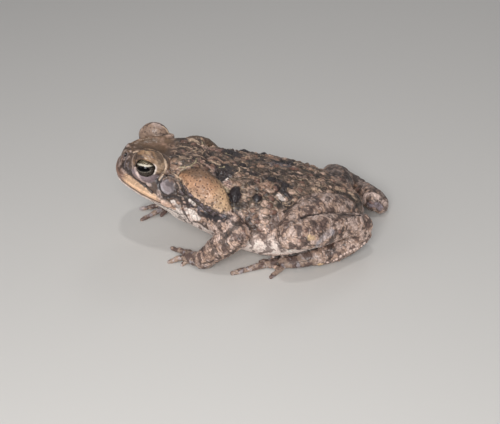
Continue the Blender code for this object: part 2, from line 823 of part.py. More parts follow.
def wart(place, normal, lie, sizes):
    """A low dome on the skin, its root sunk in."""
    length, width, height = sizes
    across = normal.cross(Vector(lie)).normalized()
    along = across.cross(normal)
    rings = []
    turns = [2 * math.pi * side / WART_SIDES for side in range(WART_SIDES)]
    for share, rise, sink in WART_RINGS:
        rings.append(
            [
                place
                + normal * (rise * height + sink)
                + along * (length * share * math.cos(turn))
                + across * (width * share * math.sin(turn))
                for turn in turns
            ]
        )
    return loft("wart", rings, place + normal * WART_ROOT, place + normal * height)


def surface_of(part):
    """A part's surface in millimetres, for finding what is near it."""
    points = [vertex.co / MM for vertex in part.data.vertices]
    return BVHTree.FromPolygons(points, [tuple(face.vertices) for face in part.data.polygons])


def core_line(name):
    """The line inside a part that its warts grow round."""
    if name == "torso":
        return [(0.0, y, middle) for y, _, middle, *_ in BODY_SECTIONS]
    if name == "head":
        return [tuple(head_point((0.0, s, HEAD_CORE))) for s in (HEAD_WARTS_FROM, NECK_Y)]
    return [row[:3] for row in LIMBS[name][0]]


def random_place(name, surface, draw):
    """A place on the back or side of a part, its normal, or nothing where the ray misses."""
    line = core_line(name)
    share = draw.random() * (len(line) - 1)
    row = int(share)
    core = Vector(line[row]).lerp(Vector(line[row + 1]), share - row)
    way = unit(Vector(line[row + 1]) - Vector(line[row]))
    across = way.cross(Vector((0.0, 0.0, 1.0))).normalized()
    turn = math.radians(draw.uniform(-WART_ARC, WART_ARC))
    outward = across.cross(way) * math.cos(turn) + across * math.sin(turn)
    place, normal, *_ = surface.ray_cast(core + outward * REACH, -outward)
    return place, normal


def is_clear(place, radius, taken, others):
    """Whether a wart here stays off the floor, the other warts and the other parts."""
    if place.z < 2 * radius:
        return False
    for near, size in taken:
        if (near - place).length < WART_SPACING * (size + radius):
            return False
    return all(other.find_nearest(place, radius + WART_MARGIN)[0] is None for other in others)


def grow_warts(part, others, draw):
    """The part's own warts, spread evenly over it and fused on in one union."""
    surface = surface_of(part)
    taken = []
    made = []
    if part.name == "torso":
        for centre, *sizes in LARGE_WARTS:
            place, normal, *_ = surface.find_nearest(Vector(centre))
            large = wart(place, normal, LARGE_WART_LIE, sizes)
            combine(large, gland("gland_seat", 1, GAP), "DIFFERENCE")
            made.append(large)
            taken.append((place, sizes[0]))
    kind = part.name.removesuffix("_left").removesuffix("_right")
    count, least, greatest = SMALL_WARTS[kind]
    count += len(made)
    for _ in range(WART_TRIES):
        place, normal = random_place(part.name, surface, draw)
        radius = draw.uniform(least, greatest)
        stretch = draw.uniform(*WART_LENGTHS)
        lie = (draw.uniform(-1, 1), draw.uniform(-1, 1), draw.uniform(-1, 1))
        if place is None or len(made) >= count:
            continue
        if not is_clear(place, radius * stretch, taken, others):
            continue
        made.append(wart(place, normal, lie, (radius * stretch, radius, radius * WART_RISE)))
        taken.append((place, radius * stretch))
    fuse_collection(part, made, "MANIFOLD")
    keep_largest(part, welding=False)


def add_warts(parts):
    """Warts on the back of the head, the body and the limbs, clear of every neighbour."""
    draw = random.Random(SEED)
    surfaces = {part.name: surface_of(part) for part in parts}
    for part in parts:
        kind = part.name.removesuffix("_left").removesuffix("_right")
        if kind in SMALL_WARTS:
            others = [surface for name, surface in surfaces.items() if name != part.name]
            grow_warts(part, others, draw)


def principled(name, colour, roughness):
    material = bpy.data.materials.new(name)
    material.use_nodes = True
    shader = material.node_tree.nodes["Principled BSDF"]
    shader.inputs["Base Color"].default_value = colour + (1.0,)
    shader.inputs["Roughness"].default_value = roughness
    shader.inputs["Metallic"].default_value = 0.0
    return material


def build():
    """Every part of the toad, as a list of objects."""
    skin = trunk()
    made = [head(skin), torso(skin)]
    remove(skin)
    for side, word in ((1, "left"), (-1, "right")):
        made.append(eye_ball("eye_" + word, side))
        made.append(eardrum("tympanum_" + word, side))
        made.append(gland("parotoid_" + word, side))
        made.append(limb_segment("upper_arm_" + word, ["parotoid_" + word]))
        made.append(limb_segment("forearm_" + word, ["upper_arm_" + word]))
        made.append(limb_segment("thigh_" + word, []))
        made.append(limb_segment("shank_" + word, ["thigh_" + word]))
        made.append(limb_segment("tarsus_" + word, ["shank_" + word]))
    hands = (("left", PALM_LEFT, FINGERS_LEFT), ("right", PALM_RIGHT, FINGERS_RIGHT))
    for word, palm, fingers in hands:
        made.append(
            paw("hand_" + word, palm, fingers, HAND_ARCH, False, HAND_TRIANGLES, ["forearm_" + word])
        )
    feet = (("left", FOOT_LEFT, TOES_LEFT), ("right", FOOT_RIGHT, TOES_RIGHT))
    for word, sole, toes in feet:
        near = ["tarsus_" + word, "shank_" + word]
        made.append(paw("foot_" + word, sole, toes, FOOT_ARCH, True, FOOT_TRIANGLES, near))
    add_warts(made)
    return made


def centre_on_floor(parts):
    """Put the origin on the floor, under the middle of the box round the whole toad."""
    places = np.array([vertex.co for part in parts for vertex in part.data.vertices])
    middle = (places.min(axis=0) + places.max(axis=0)) / 2
    for part in parts:
        part.location = (-middle[0], -middle[1], 0.0)


def place_in_collection(parts):
    """Gather the parts in the toad's own collection, each with its material."""
    finishes = {
        "eye": principled("eye", (0.05, 0.05, 0.03), 0.1),
        "parotoid": principled("gland", (0.45, 0.28, 0.14), 0.5),
        "tympanum": principled("eardrum", (0.30, 0.26, 0.30), 0.5),
        "skin": principled("skin", (0.26, 0.19, 0.14), 0.55),
    }
    home = bpy.data.collections.new("cane_toad")
    bpy.context.scene.collection.children.link(home)
    for part in parts:
        kind = part.name.split("_")[0]
        part.data.materials.clear()
        part.data.materials.append(finishes.get(kind, finishes["skin"]))
        part.data.shade_smooth()
        part.data.set_sharp_from_angle(angle=math.radians(SHARP_ANGLE))
        bpy.data.collections["workshop"].objects.unlink(part)
        home.objects.link(part)


def main():
    for existing in list(bpy.data.objects):
        bpy.data.objects.remove(existing, do_unlink=True)
    workshop = bpy.data.collections.new("workshop")
    bpy.context.scene.collection.children.link(workshop)
    parts = build()
    centre_on_floor(parts)
    place_in_collection(parts)


main()
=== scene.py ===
import math
from types import SimpleNamespace

import bmesh
import bpy
import numpy as np
from mathutils import Matrix, Vector
from mathutils.kdtree import KDTree

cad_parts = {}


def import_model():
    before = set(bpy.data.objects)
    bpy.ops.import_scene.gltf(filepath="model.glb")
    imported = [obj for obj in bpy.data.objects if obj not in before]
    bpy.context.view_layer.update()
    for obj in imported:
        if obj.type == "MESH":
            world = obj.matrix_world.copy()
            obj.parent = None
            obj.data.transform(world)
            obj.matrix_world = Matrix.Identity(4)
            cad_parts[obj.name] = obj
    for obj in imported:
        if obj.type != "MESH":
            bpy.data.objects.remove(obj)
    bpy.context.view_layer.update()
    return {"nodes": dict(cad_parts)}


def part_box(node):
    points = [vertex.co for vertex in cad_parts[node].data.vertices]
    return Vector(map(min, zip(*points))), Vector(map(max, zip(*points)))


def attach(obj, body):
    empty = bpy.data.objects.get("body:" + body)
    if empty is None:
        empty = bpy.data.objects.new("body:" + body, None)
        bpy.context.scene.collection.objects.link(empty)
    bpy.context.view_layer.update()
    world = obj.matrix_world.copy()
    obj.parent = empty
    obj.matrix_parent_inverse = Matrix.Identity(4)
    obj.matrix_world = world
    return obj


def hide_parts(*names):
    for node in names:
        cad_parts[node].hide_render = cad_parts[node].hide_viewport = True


# Cane toad: one skin over the solids, two eyes, their markings, a pale floor, light and camera.
# Sizes are millimetres in the toad's own measures: x to its left, y from the snout back, z up.


def table(text):
    """Rows of numbers from text; a comma or the end of a line closes a row."""
    rows = text.replace("\n", ",").split(",")
    return tuple(tuple(map(float, row.split())) for row in rows if row.strip())


def named(text):
    """Lines of words, a colon and rows of numbers; a line that starts with spaces goes on."""
    parts = [line.partition(":") for line in text.replace("\n ", " ").strip().splitlines()]
    return [(words.split(), table(rows)) for words, _, rows in parts]


MM = 0.001
UP = (0.0, 0.0, 1.0)
# A distance that counts as far from everything
FAR = 9.0

# Head measures: the snout tip at the mouth line, and how far the head is tipped up
SNOUT = (0.0, -0.4, 43.5)
HEAD_PITCH = 21.0
EYE_RADIUS = 5.2
EYE_CENTRE = (14.7, 13.0, 12.4)
EYE_GAZE = (0.91, -0.12, 0.36)
# Half-length of the gap between the lids, and its height above and below the middle
EYE_OPENING = (4.75, 3.6, 3.7)
# The cut for the gap: distance out from the eye's centre, and how much wider it is there
EYE_GAP = ((0.0, 0.0), (4.0, 0.0), (9.0, 2.0))
GAP_TIPS = (-0.2, 9.2)
GAP_SIDES = 48
SOCKET_CLEARANCE = 0.05
EYEBALL_CLEARANCE = 0.12
CORNEA_BULGE = 0.06
LID_SQUARENESS = 0.6
LID_CENTRE = (14.4, 13.4, 14.6)
LID_SIZE = (5.0, 8.0, 8.3)
LOWER_LID_CENTRE = (14.6, 13.2, 10.1)
LOWER_LID_SIZE = (5.0, 7.0, 5.4)
DRUM_CENTRE = (20.2, 25.8, 9.4)
DRUM_RADII = (3.7, 4.1)
DRUM_DEPTH = 1.3
DRUM_REACH = (4.6, 4.1, 4.1)
DRUM_FACING = (0.95, 0.12, 0.22)
NOSTRIL_CENTRE = (4.9, 1.5, 10.4)
NOSTRIL_SIZE = (1.5, 1.1, 1.0)
JAW_CORNER = 30.0
LIP_HEIGHT = 1.4
LIP_OVERHANG = 0.7
LIP_SINK = 0.2
UPPER_LIP_HEIGHT = 1.5
UPPER_LIP_RADIUS = 1.0
# How high the lip's pale edge lies at these distances behind the snout
LIP_EDGE = ((0, 3, 8, 13, 18, 24, 30), (4.2, 4.4, 4.5, 4.0, 3.6, 2.4, 1.6))
SNOUT_TIP = (-0.5, 3.8)
CREST_RADIUS = 1.15
CREST_LINE = table("""
3.6 2 10.8, 5.6 7 14.9, 7 11.5 17, 8.4 16.5 18.3, 11.2 20.4 19.2, 14.4 22.2 17.9, 16.8 23.2 14.8
17.8 27 13.9, 17.6 32.5 15
""")

# Head sections: distance behind the snout, lip half-width, chin, cheek, crest and crown heights
HEAD_SECTIONS = table("""
0 5.2 -1 4.7 5.5 2.6 8.6 9, 1.3 9.2 -1.9 8.2 6 4.4 10 10.4, 4 12.8 -2.8 10.8 7 5.6 12.6 12.4
8 15.8 -3.6 12.7 8 6.6 15 14, 13.5 18.8 -4.8 14.6 9 7.8 16.9 15.7
19 20.9 -6 16.9 9.8 9 18.3 17.2, 25 22.4 -7.6 19.6 10.5 10.6 20 19.2
31 23.6 -9.6 21.4 11.2 12.6 21 21, 36 24.6 -12 22.8 12 14.5 21.2 22.4
""")
# Body sections: y, pitch, height of the widest point, half-width, underside and back heights
BODY_SECTIONS = table("""
41.5 12 29 26.2 14 48.8, 47.5 5 26.5 28.4 10.6 47.6, 54 0 24 30.2 6.4 46, 63 0 21.5 32 2 43.8
74 0 19.5 33.4 -1.2 41.2, 86 0 18 32.8 -1.6 38.2, 97 0 17 29.8 -1.6 35.2
107 0 16.5 24.4 -1.2 31.8, 115 0 16 18.4 0.6 28.2, 121 0 15.6 12.6 4.6 24.4
124.6 0 15.2 6.6 9 20.4
""")
BODY_END = (126.2, 14.2)
BODY_SQUARENESS = 0.86
BELLY_FLATNESS = 0.85

# Limb lines: x, y, z, half-thickness across, half-thickness up
LIMBS = {words[0]: rows for words, rows in named("""
thigh_left: 13 113 20.5 8 9, 18 106 24.5 9.5 10.5, 24 99 26.5 9.5 10, 33 92 28 8.8 9.2,
  40.5 88 28.2 7.2 7.6
shank_left: 42.8 87.5 28 7 7.4, 40.2 94 27.4 7.8 8.2, 35.6 102 26 7.8 8.2, 29.8 111 24.2 6.4 6.8,
  25 118 21.8 5.7 6, 20.6 123 18.4 5.8 6.2
tarsus_left: 19.3 123.2 13.2 5 5.6, 21.8 118 9.9 5.2 5.8, 24.8 110 6.4 5.2 5.4,
  26.6 101 4.8 5.4 4.8, 27 93 3.9 5.4 4
foot_left: 27 97 4 5.4 4, 27.4 90 3.2 6.2 3.5, 27.4 83.5 2.6 5.4 2.8
thigh_right: -13 112 20 8 9, -22 112.5 17.6 9.4 10, -32 112.5 13.8 8.8 9.4, -42 111.8 9.8 7.4 8,
  -47.5 111.5 7.8 6.4 7.2
shank_right: -49 111.5 7 6.4 6.8, -44 116 7.2 6.8 7, -37 121.4 7.6 6.8 7, -29.5 126.6 8.6 5.9 6.2,
  -24 130.3 9.4 5.6 6, -19.6 132.8 9.4 5.6 6.2
tarsus_right: -19.4 136.4 6.6 4.6 5.4, -25 134.6 6 5 5.5, -32 130.8 5.2 5 5,
  -39.5 126.2 4.6 5.2 4.4, -45 123.2 4 5.2 3.9
foot_right: -42.5 124.6 3.9 5.2 3.9, -48.5 122.4 3.2 6 3.5, -54.5 119.6 2.6 5.2 2.8
upper_arm_left: 13 48 27 8 9, 21 51.5 27 8.8 9.2, 27.5 55.5 25.6 7.8 8.2, 32.6 59.5 23.8 6.6 7,
  35.4 62.3 23 5.8 6.2
forearm_left: 35.6 62.4 22.8 5.2 5.6, 34.9 58.2 20.4 6 6.4, 33.3 52.6 15.4 6 6.2,
  31.3 47.4 9.6 5.3 5.3, 29.4 43 4.8 4.8 4.8
palm_left: 29.2 44.6 4.5 4.5 4.4, 26.4 39.4 3.5 4.4 3.5, 23.2 34.6 2.5 3.9 2.7
upper_arm_right: -14 48 27 8 9, -22 49.5 26.5 9 9.5, -32 50.5 23.5 7.8 8.2, -40 50.5 20.5 6.6 7,
  -45.5 50.5 18 5.8 6.2
forearm_right: -44.5 53 19.5 5.6 6.2, -41 46.5 17.5 6.6 7, -37 38.5 12.6 6.4 6.4,
  -33.4 31 7.4 5.2 5.2, -31.2 25.4 3.8 4.6 3.9
palm_right: -31.6 29.5 4.4 4.6 3.9, -29.2 22.8 3.1 5 3, -26.6 17.4 2.3 4 2.3
""")}
LIMB_FACINGS = {"forearm_left": (0.0, 0.5, 1.0), "forearm_right": (0.0, 0.5, 1.0)}

# Digits: root and tip on the floor plan, then thickness at the root
DIGITS = {words[0]: rows for words, rows in named("""
fingers_left: 21.5 37 14.8 33 1.4, 20.8 34.6 12.4 25 1.5, 23.4 33.4 25.4 24.8 1.5,
  25.6 35.6 27.8 31.8 1.4
fingers_right: -27 21.5 -19.6 16.4 1.35, -25.6 20 -15.6 6 1.45, -27.4 18.6 -27 4.3 1.45,
  -30 20.6 -36 12.6 1.35
toes_left: 25.4 86.5 23.6 81.4 1.35, 25.6 84.6 24.2 76.4 1.4, 26.2 83.5 25.8 71.8 1.5,
  27 83.5 35.9 57.8 1.75, 29 86 39.4 77.2 1.5
toes_right: -53.5 116.6 -58.5 110 1.4, -56 117.1 -63 106.5 1.45, -57 118.1 -67.5 107 1.55,
  -57.5 119.6 -71.5 112.6 1.65, -56 122.1 -65.5 121.8 1.5
""")}
HAND_ARCH = 1.2
FOOT_ARCH = 0.6
DIGIT_SINK = 0.35
# How a digit swells and arches: share of its length, rise, and thickness
DIGIT_SHAPE = table("""
0 1 1.1, 0.3 1 0.95, 0.5 0.8 1, 0.72 0.4 0.78, 0.86 0.1 0.84, 1 0 0.66
""")
WEB_REACH = 0.42
WEB_HALF_THICKNESS = 0.6
WEB_STEPS = 4
WEB_HEIGHT = 1.3

GLAND_LINE = table("""
18 35 47.2 3 2.4, 19.6 38.2 46.6 6 4.2, 21.9 42.4 44.8 8.2 5, 24.7 47.7 40.6 8 5.2
27 52.2 35.8 6.6 4.7, 28.2 55.2 32.4 4 3.4
""")
GLAND_FACING = (0.72, 0.0, 0.69)
GLAND_SLIDE_RIGHT = (2.0, 7.5)
GLAND_DROP = 0.5

# Large warts of the back: place, half-length, half-width, height, and how dark the core is
LARGE_WARTS = table("""
22.4 60.2 38.6 4.9 3.3 1.3 1, 22.5 71 36.8 2.4 2.3 1.1 1, 10.8 53.5 45.1 2.6 1.9 0.9 0.9
15 80.4 37.9 2.3 1.8 1 0, 13 84.9 37.2 3 2 0.8 0.7, 5.6 105.8 32 1.9 1.7 0.8 0.5
1.2 115.2 28 1.8 1.5 0.7 0.4, 12.6 70.9 40.7 1.9 1.6 0.8 0.4, 25.3 77.4 33.7 1.8 1.6 0.8 0.3
1.3 63.6 43.6 1.9 1.7 0.8 0.7, -4.8 80.9 39.3 1.9 1.6 0.8 0.5, -3.2 98.3 34.7 1.7 1.5 0.7 0.5
12.7 92.4 35.2 1.8 1.5 0.7 0.3
""")
LARGE_WART_LIE = (0.82, -0.21, -0.54)
# Large warts at least this dark and this far from the middle have a like on the other side
DARK_WART = 0.6
WART_MIDDLE = 8.0
# How far a wart reaches, and how far others keep off it, in its own radii
WART_REACH = 1.6
WART_CLEARANCE = 1.4
# Warts that show as a dark spot in a pale ring
RING_WARTS = table("""
16.3 57.1 42.5, 15.4 67.5 40.7, 17.1 71.2 39.3, 25.9 72.9 34.2, 27.1 65.1 33.9, 21.6 86.8 33.6
7.4 104.7 31.8, 20.3 64.6 39, 19.4 75.4 37, 4.6 72.6 41.6, 8.8 89.6 36.8, 3.2 84.2 38.6
""")
RING_WART_LIE = (0.2, 1.0, -0.3)
RING_WART_SIZE = (1.6, 1.3, 0.55)
# How far back from their mirrored place the marks and warts of the other side lie
OTHER_SIDE_BACK = 3.0
# Small warts are strewn in three lots, large and small on the body and then on the limbs:
# least and greatest radius, height for a radius of 1, tries, and seed
SMALL_WARTS = (
    ((0.9, 1.8), 0.42, 3500, 101),
    ((0.5, 0.9), 0.36, 4000, 102),
    ((0.5, 1.1), 0.32, 2500, 103),
)
SMALL_WART_SPACING = 1.3
SMALL_WART_TINTS = ("rust", "brown", "pink", "tan", "umber")
# The row of pale bumps along the outer edge of the near foot, and of the far one
FOOT_EDGES = [rows for _, rows in named("""
near: 30.6 106.1 3.4, 29.7 109.9 4.3, 28.7 114.4 7, 27.2 118.2 8.4, 24.5 122.9 8.7, 23.4 125.3 11.1
far: -24.4 139.2 4, -30.4 136 3.4, -37.4 131.4 2.8
""")]
EDGE_SPACING = 2.1

# Marks drawn on the skin along lines: tint, half-width, strength, height, and places
HEAD_MARKS = named("""
umber 0.5 0.9 -0.1: 13 7.7 20.6, 14.8 10.6 22.4, 14.5 13 22.9, 14.1 15.1 22.7, 13.4 17.1 21.8
sand 0.7 0.75 0.35: 13.4 15.9 22.2, 13.6 17.7 21.2, 13.5 19.5 19.6, 14.9 21.2 18.6,
  16.2 22.3 17.1, 17 22.5 14.9
sand 0.5 0.8 0.4: 17 22.5 14.6, 17 25.1 15.1, 17.5 27.2 15.1, 18.4 29.1 14.9, 20.2 31 15.8
sand 0.45 0.7 0.25: 16.8 22.6 13.8, 16.5 21.8 12.2, 17.2 21.2 10.9, 17.9 21 9.8
black 0.6 0.85 -0.3: 17.4 23.4 13.1, 18.5 25.7 14.3, 18.9 28.5 13.7, 19.9 31 13.4
palm 1.2 0.85 0.3: 13.4 6.2 17, 15 6 14.4, 16.4 6.6 11.6
sand 0.4 0.85 0.25: 6.1 4.9 13.6, 6.4 6.2 14.7, 8.6 6.8 16
umber 1.5 0.6 0: 15.6 6.6 17.7, 17.2 7.9 18, 17.9 9.5 18.5
lid_dark 1.4 0.65 0: 14.9 15.8 22.3, 15.2 18 21, 15.5 19.2 19.7
umber 0.4 0.7 -0.2: 15.9 6.9 17.8, 17.2 7.3 15.4, 17.9 8 12.8
blush 0.95 0.6 0.3: 17.8 8.2 11.7, 18.5 9.3 10.2, 18.9 11.3 8.3, 17.7 14.2 5.9, 18.5 17.5 5.7
rust 0.8 0.6 0: 17.2 8.4 7.8, 17.6 11.2 6.2, 17.6 14.2 4.6
umber 1.2 0.5 -0.1: 16.5 16.9 20.9, 16.8 18 19.8, 17.1 18.6 18.6
umber 0.35 0.55 -0.1: 6.4 7.6 15.6, 8.4 11.2 18.2, 9.8 15.8 19.6, 11.8 19 19.9
umber 1 0.8 -0.2: 8 2 6, 12.6 5.8 6.2, 16.6 10.6 5.4, 18.6 15.2 4.6
black 0.7 0.8 -0.3: 18.4 15.6 4.6, 19.2 17.6 3.6, 20.4 19.6 3.2
black 0.9 0.85 -0.2: 17.7 19.7 9.2, 18.9 21 7.9, 20.3 22.8 6
palm 0.55 0.7 0.25: 18.1 23 11.1, 18.3 24.8 13.3, 18.8 27.9 13.6, 18.7 31.3 13.2
palm 0.6 0.6 0.35: 19.9 29.7 12.6, 20.7 31.3 12, 21.8 31.9 10.9, 22.3 31.2 9.2
umber 1 0.75 0: 20.9 29.7 11.2, 21.7 30.5 9.7
black 0.8 0.75 -0.15: 21.7 23.6 3.5, 22.2 26.1 3.9, 22.7 29.5 5.9, 23.2 32 6.4
blush 1 0.7 0: 20.7 22.1 5, 22.1 23.9 2.7, 22.7 26.4 1.2
white 1.4 0.9 0: 23.4 30.8 3.3, 23.9 32.9 2, 24.1 35.3 -0.8
white 1 0.85 0: 24.4 38.2 7.6, 24.9 40.6 6.4
white 1.9 0.9 0: 25 38.1 1.4, 25.5 40.7 1.5, 25.9 44 0.2
white 1.2 0.9 0: 22.8 45.2 -6.8, 20.8 48.7 -9.2
white 1.3 0.9 0: 25.9 50.2 -5.1, 26.8 52.8 -4.8, 30.2 54.2 -2
umber 0.6 0.85 -0.15: 23.4 33.1 7, 24.2 34.8 4.1, 24.6 36.3 1.8, 24.8 39.2 -1.4, 23.6 41.6 -4.5
umber 0.6 0.8 -0.1: 22 39.2 -5.5, 19.1 41.9 -9, 22.8 43.4 -6.3, 23.2 42.9 -3.6
umber 0.55 0.85 -0.1: 25 43.4 -3.2, 26.3 46.5 -1.8, 26.8 49.4 -3.3
black 1.3 0.9 0: 26.8 45 3.1, 29.1 49.6 5.2, 31.4 53.6 7.6
umber 0.9 0.75 0: 23.7 34.8 7.5, 24.5 37.2 5.8, 24.9 38.6 3.8
umber 0.5 0.8 0: 20.6 20.6 -1.2, 22.2 26 -1.8, 23.4 31 -2.6, 24.2 36 -3.6
rose 0.9 0.4 0.1: 2.6 -0.2 5.6, 4.2 0 4.6, 5.6 0.9 3.8
slate 0.4 0.7 0.15: 7.4 2.6 9.6, 8.4 3 7.6, 9.6 3.6 6
slate 0.4 0.6 0.15: 9.4 4.2 9, 10.4 4.6 7.4, 11.6 5.4 6.6
""")
# The same on the body and limbs, in the toad's measures
BODY_MARKS = named("""
ring 0.4 0.85 0.25: 14.5 32.6 50.3, 14.7 35.3 50.3, 14.3 38.1 50.7, 12.5 40.2 51.4, 8.2 40.8 51.1
umber 0.7 0.8 -0.3: 12.8 29.3 51.5, 13.2 31.5 51.2, 13.7 33.5 51
umber 0.9 0.8 -0.25: 12 38.2 52, 8.2 39.4 51.6, 5.8 40.9 51.3
black 0.55 0.9 -0.4: 6 40.9 51.2, 4.7 42.7 50.3, 4.7 44.5 48.9, 6 47.7 47.4, 8 50.3 46.6,
  11.2 51.7 45.5, 13.7 51.4 44.8
rose 1 0.75 0.3: 8.5 42.1 50.4, 8.2 44 48.9, 8.8 46.8 47.2, 10.8 49.3 46.3, 13.2 50 45.4
ring 0.35 0.8 0.2: 16.4 51.4 44.4, 18.6 53.4 43, 20.8 55.4 41.2, 23 57.4 38.6
black 3.5 0.95 0.1: 10.6 52.4 45.9, 13.2 53.3 44.5, 14.8 54.1 43.7
black 3 0.95 0.1: 6.4 54.5 45.5, 9.3 55.7 44.8, 10.8 56.9 44.2
black 1.3 0.9 0.1: 6.6 57.8 44.7, 7.3 59.6 44.2, 8.1 60.8 43.8
sand 0.35 0.9 0.2: 4.5 61.5 44, 6.5 62.1 43.7, 8.7 61.6 43.5, 10.1 60.2 43.7
white 0.4 0.85 0.15: 17.4 54.4 43.2, 16.1 55.4 43, 14.7 56.3 43.3
rose 1.4 0.8 0.1: 17.1 55.9 42.4, 17.7 57.1 41.9, 18.6 58.2 41.2
sand 0.35 0.85 0.2: 1.8 42.8 50.4, -5.4 44.5 48.8, -3 45.9 48.2
tan 0.9 0.85 0.3: 0.6 47.4 47.9, 0.5 50.5 47.1, 3 53.2 46.6, 2.3 56.3 45.3
umber 0.8 0.85 -0.2: -3.5 50.6 47, -1.5 54.8 45.7, 1.7 58.1 45.5, 0.4 61.2 44.2
sand 0.55 0.85 0.2: 3.9 46.6 47.9, 5.3 49.5 47.2, 5.8 52 46.3
ring 0.35 0.85 0.15: 8 51.8 46.1, 7.7 53.1 45.8, 6.6 54.5 45.5
sand 0.4 0.8 0.2: -3.3 31.7 52.4, -3.1 34.6 52.1, -2.1 36.9 51.9
sand 0.45 0.8 0.2: -8.1 38.7 51.8, -6.8 41.3 51.1, -8.7 43.7 49
sand 0.7 0.85 0.2: 1.4 40.6 51.6, 0 42 51
sand 0.9 0.85 0.2: 8.8 33 52.9, 10.3 34.4 53, 9.3 37.7 52.1
black 1.1 0.9 0: 1.8 63.2 43.8, 2.4 65.6 43.3
black 1.2 0.9 0: 7.6 68 42.1, 8.4 70.6 41.5
sand 0.4 0.85 0.1: 3.6 62.6 43.9, 4.3 64.6 43.6, 3.6 66.6 43.2
sand 0.4 0.85 0.1: 9.8 67.4 41.9, 10.4 69.6 41.4, 9.6 71.6 41
tan 2.4 0.9 0.15: 15.6 73.4 39.6, 13.6 77.6 39
black 2 0.95 0: 9.4 77.6 40, 10.4 82.2 38.5, 13 86.6 36.8
black 1.7 0.95 0: 13.4 80.8 38.4, 16.4 83.8 36.8, 19.4 87.4 34.8
white 1.3 0.8 0: 19.4 81.8 35.8, 21 84.2 34.8
sand 1.2 0.9 0: 14.2 86.8 36.4, 15.6 90.2 35.2
sand 0.5 0.8 0.1: 20.6 88.6 34.2, 22.4 86.4 33.6, 22.6 84 34
slate 2.2 0.8 0: -5.4 76.6 40.2, -6.7 81.6 39.1, -7.8 86.5 37.8
sand 1.1 0.8 0: 9.9 98.6 33.8, 9.7 101.8 32.8
sand 1.2 0.8 0: 3.2 111.4 29.6, 2.6 114.6 28.4
sand 1.2 0.75 0: 2.4 118 26, 3.8 120.6 24.6
black 1 0.8 0: 26 58.6 35.6, 27.4 61.6 34.2
""")
# The umber line along the near shank's upper edge, against the thigh, is painted shade in the
# crease there
LIMB_MARKS = named("""
frost 2 0.55 0: 45 100.2 24.6, 43.2 103.6 27, 41 107.3 28.2
frost 1.5 0.6 0: 44 98.6 22.4, 42.2 101.6 21.2
blotch 2.2 0.75 0: 48.4 88.6 24.4, 47.6 92 22.6
cream 1.3 0.9 0.1: 46.8 96 29.2, 46.6 97.8 28.8
white 1.4 0.9 0: 48.6 88.2 20.8, 46.6 92.6 19.4, 44.2 98 18.6, 41.4 103.4 18.6
cream 1.3 0.9 0.4: 30.9 101.6 2.6, 31 103 2.6
blush 1.3 0.8 0: -17.3 127.4 9, -18.4 127.9 12.4, -17.4 130.5 14.2, -15.9 134.7 13.2,
  -16.1 138.6 9.2
lilac 1.9 0.9 0: -14.7 130.4 8.9, -14.2 133.6 9.1, -15 135.9 6.8
umber 0.7 0.85 -0.3: 45.5 92.3 18.6, 45 96.9 18, 41 104.4 17.8, 36 110.9 17.4
blotch 1.3 0.85 0: 33.4 70.6 25.2, 33.1 73.3 21.2, 33 77.1 15.2
blotch 1.6 0.85 0: 33.6 80.6 20, 33 82.4 15, 32.2 83.6 10.6
umber 1.3 0.85 0: 30.3 66.5 29.5, 31.7 67.2 26.3, 35.4 67.8 24.6
umber 0.8 0.9 -0.5: 39.2 92.8 35.4, 35.5 98.3 34.4, 31.3 104.7 32.5, 28.5 111.7 30.7,
  26.3 117.8 28.8, 22.6 122.6 26
umber 0.8 0.8 -0.3: 26.6 84.3 31, 23.9 87.3 32.1, 21.5 90.3 33.4, 21.4 94.2 34.4
umber 0.8 0.8 -0.15: -20.4 117.4 24.4, -18.2 120.4 23.6, -15.8 118.4 25.2, -17.6 116 26
umber 0.6 0.8 -0.15: -15.4 115.6 27.2, -13.8 117.6 26.4, -12.4 115.8 27.4, -14 114.2 28
umber 1.6 0.8 0: 38 56.4 24.6, 36.8 59.6 27.4, 33.8 62.8 29.2
white 0.7 0.85 0: 38.6 66.4 22, 37.6 62.6 17.6, 35.6 57 12.4, 33 51.8 7.6
umber 1 0.7 0: 39.6 63.4 22.4, 38.4 59.4 18.6, 36.6 54.6 14.4
""")
MARK_FACING = (0.3, 0.2, 0.9)
MARK_EDGE = (0.75, 1.15)
# Marks that begin nearer to the middle than this have no like on the other side
MARK_MIDDLE = 4.0
# Wider marks than this have an edge that is this much rougher
WIDE_MARK = 1.0
WIDE_ROUGHNESS = 1.5
PATCHY_TINTS = ("frost", "blush", "lilac", "blotch")
# The black band under the glands: y, and the heights of its upper and lower edges
BAND_LINE = table("""
31 46.6 38, 34.9 45.6 34.6, 38.6 43.6 33.4, 42 40.8 31, 45.8 38.1 28.4, 49.7 36.8 29.2
53.5 34.4 30.2, 57 33 31.2, 60 31.6 31.4
""")

# How fine the skin is: voxels, smoothing, and the sides and steps of tubes and balls
FIRST_VOXEL = 0.5
SKIN_VOXEL = 0.36
SMOOTH_ROUNDS = 2
SMOOTH_FACTOR = 0.5
LIMB_SIDES = 28
LIMB_STEPS = 5
DIGIT_SIDES = 16
CREST_SIDES = 14
CREST_STEPS = 4
LIP_SIDES = 12
LIP_STEPS = 3
BALL_SIDES = 40
EYEBALL_SIDES = 128
OUTLINE_STEPS = 5
SECTION_STEPS = 5
END_ANGLES = (75, 60, 45, 30, 15)
# Rounds of averaging that find the creases between limbs and body, which are painted as shade, and
# the small relief
CREASE_ROUNDS = 40
RELIEF_ROUNDS = 4
# How strongly the small relief is painted as shade in its hollows and as light on its tops
RELIEF_SHADE = 4.0
RELIEF_LIMITS = (-0.9, 0.4)
PORE_SPACING = 1.45
LID_DOT_SPACING = 1.2
# Numbers in the shuffled list behind all noise, and the bits that a number in it can have
SLOTS = 256
SLOT_BITS = SLOTS - 1
# The block that cuts the underside flat
FLOOR_WIDTH = 480.0
FLOOR_DEPTH = 12.0

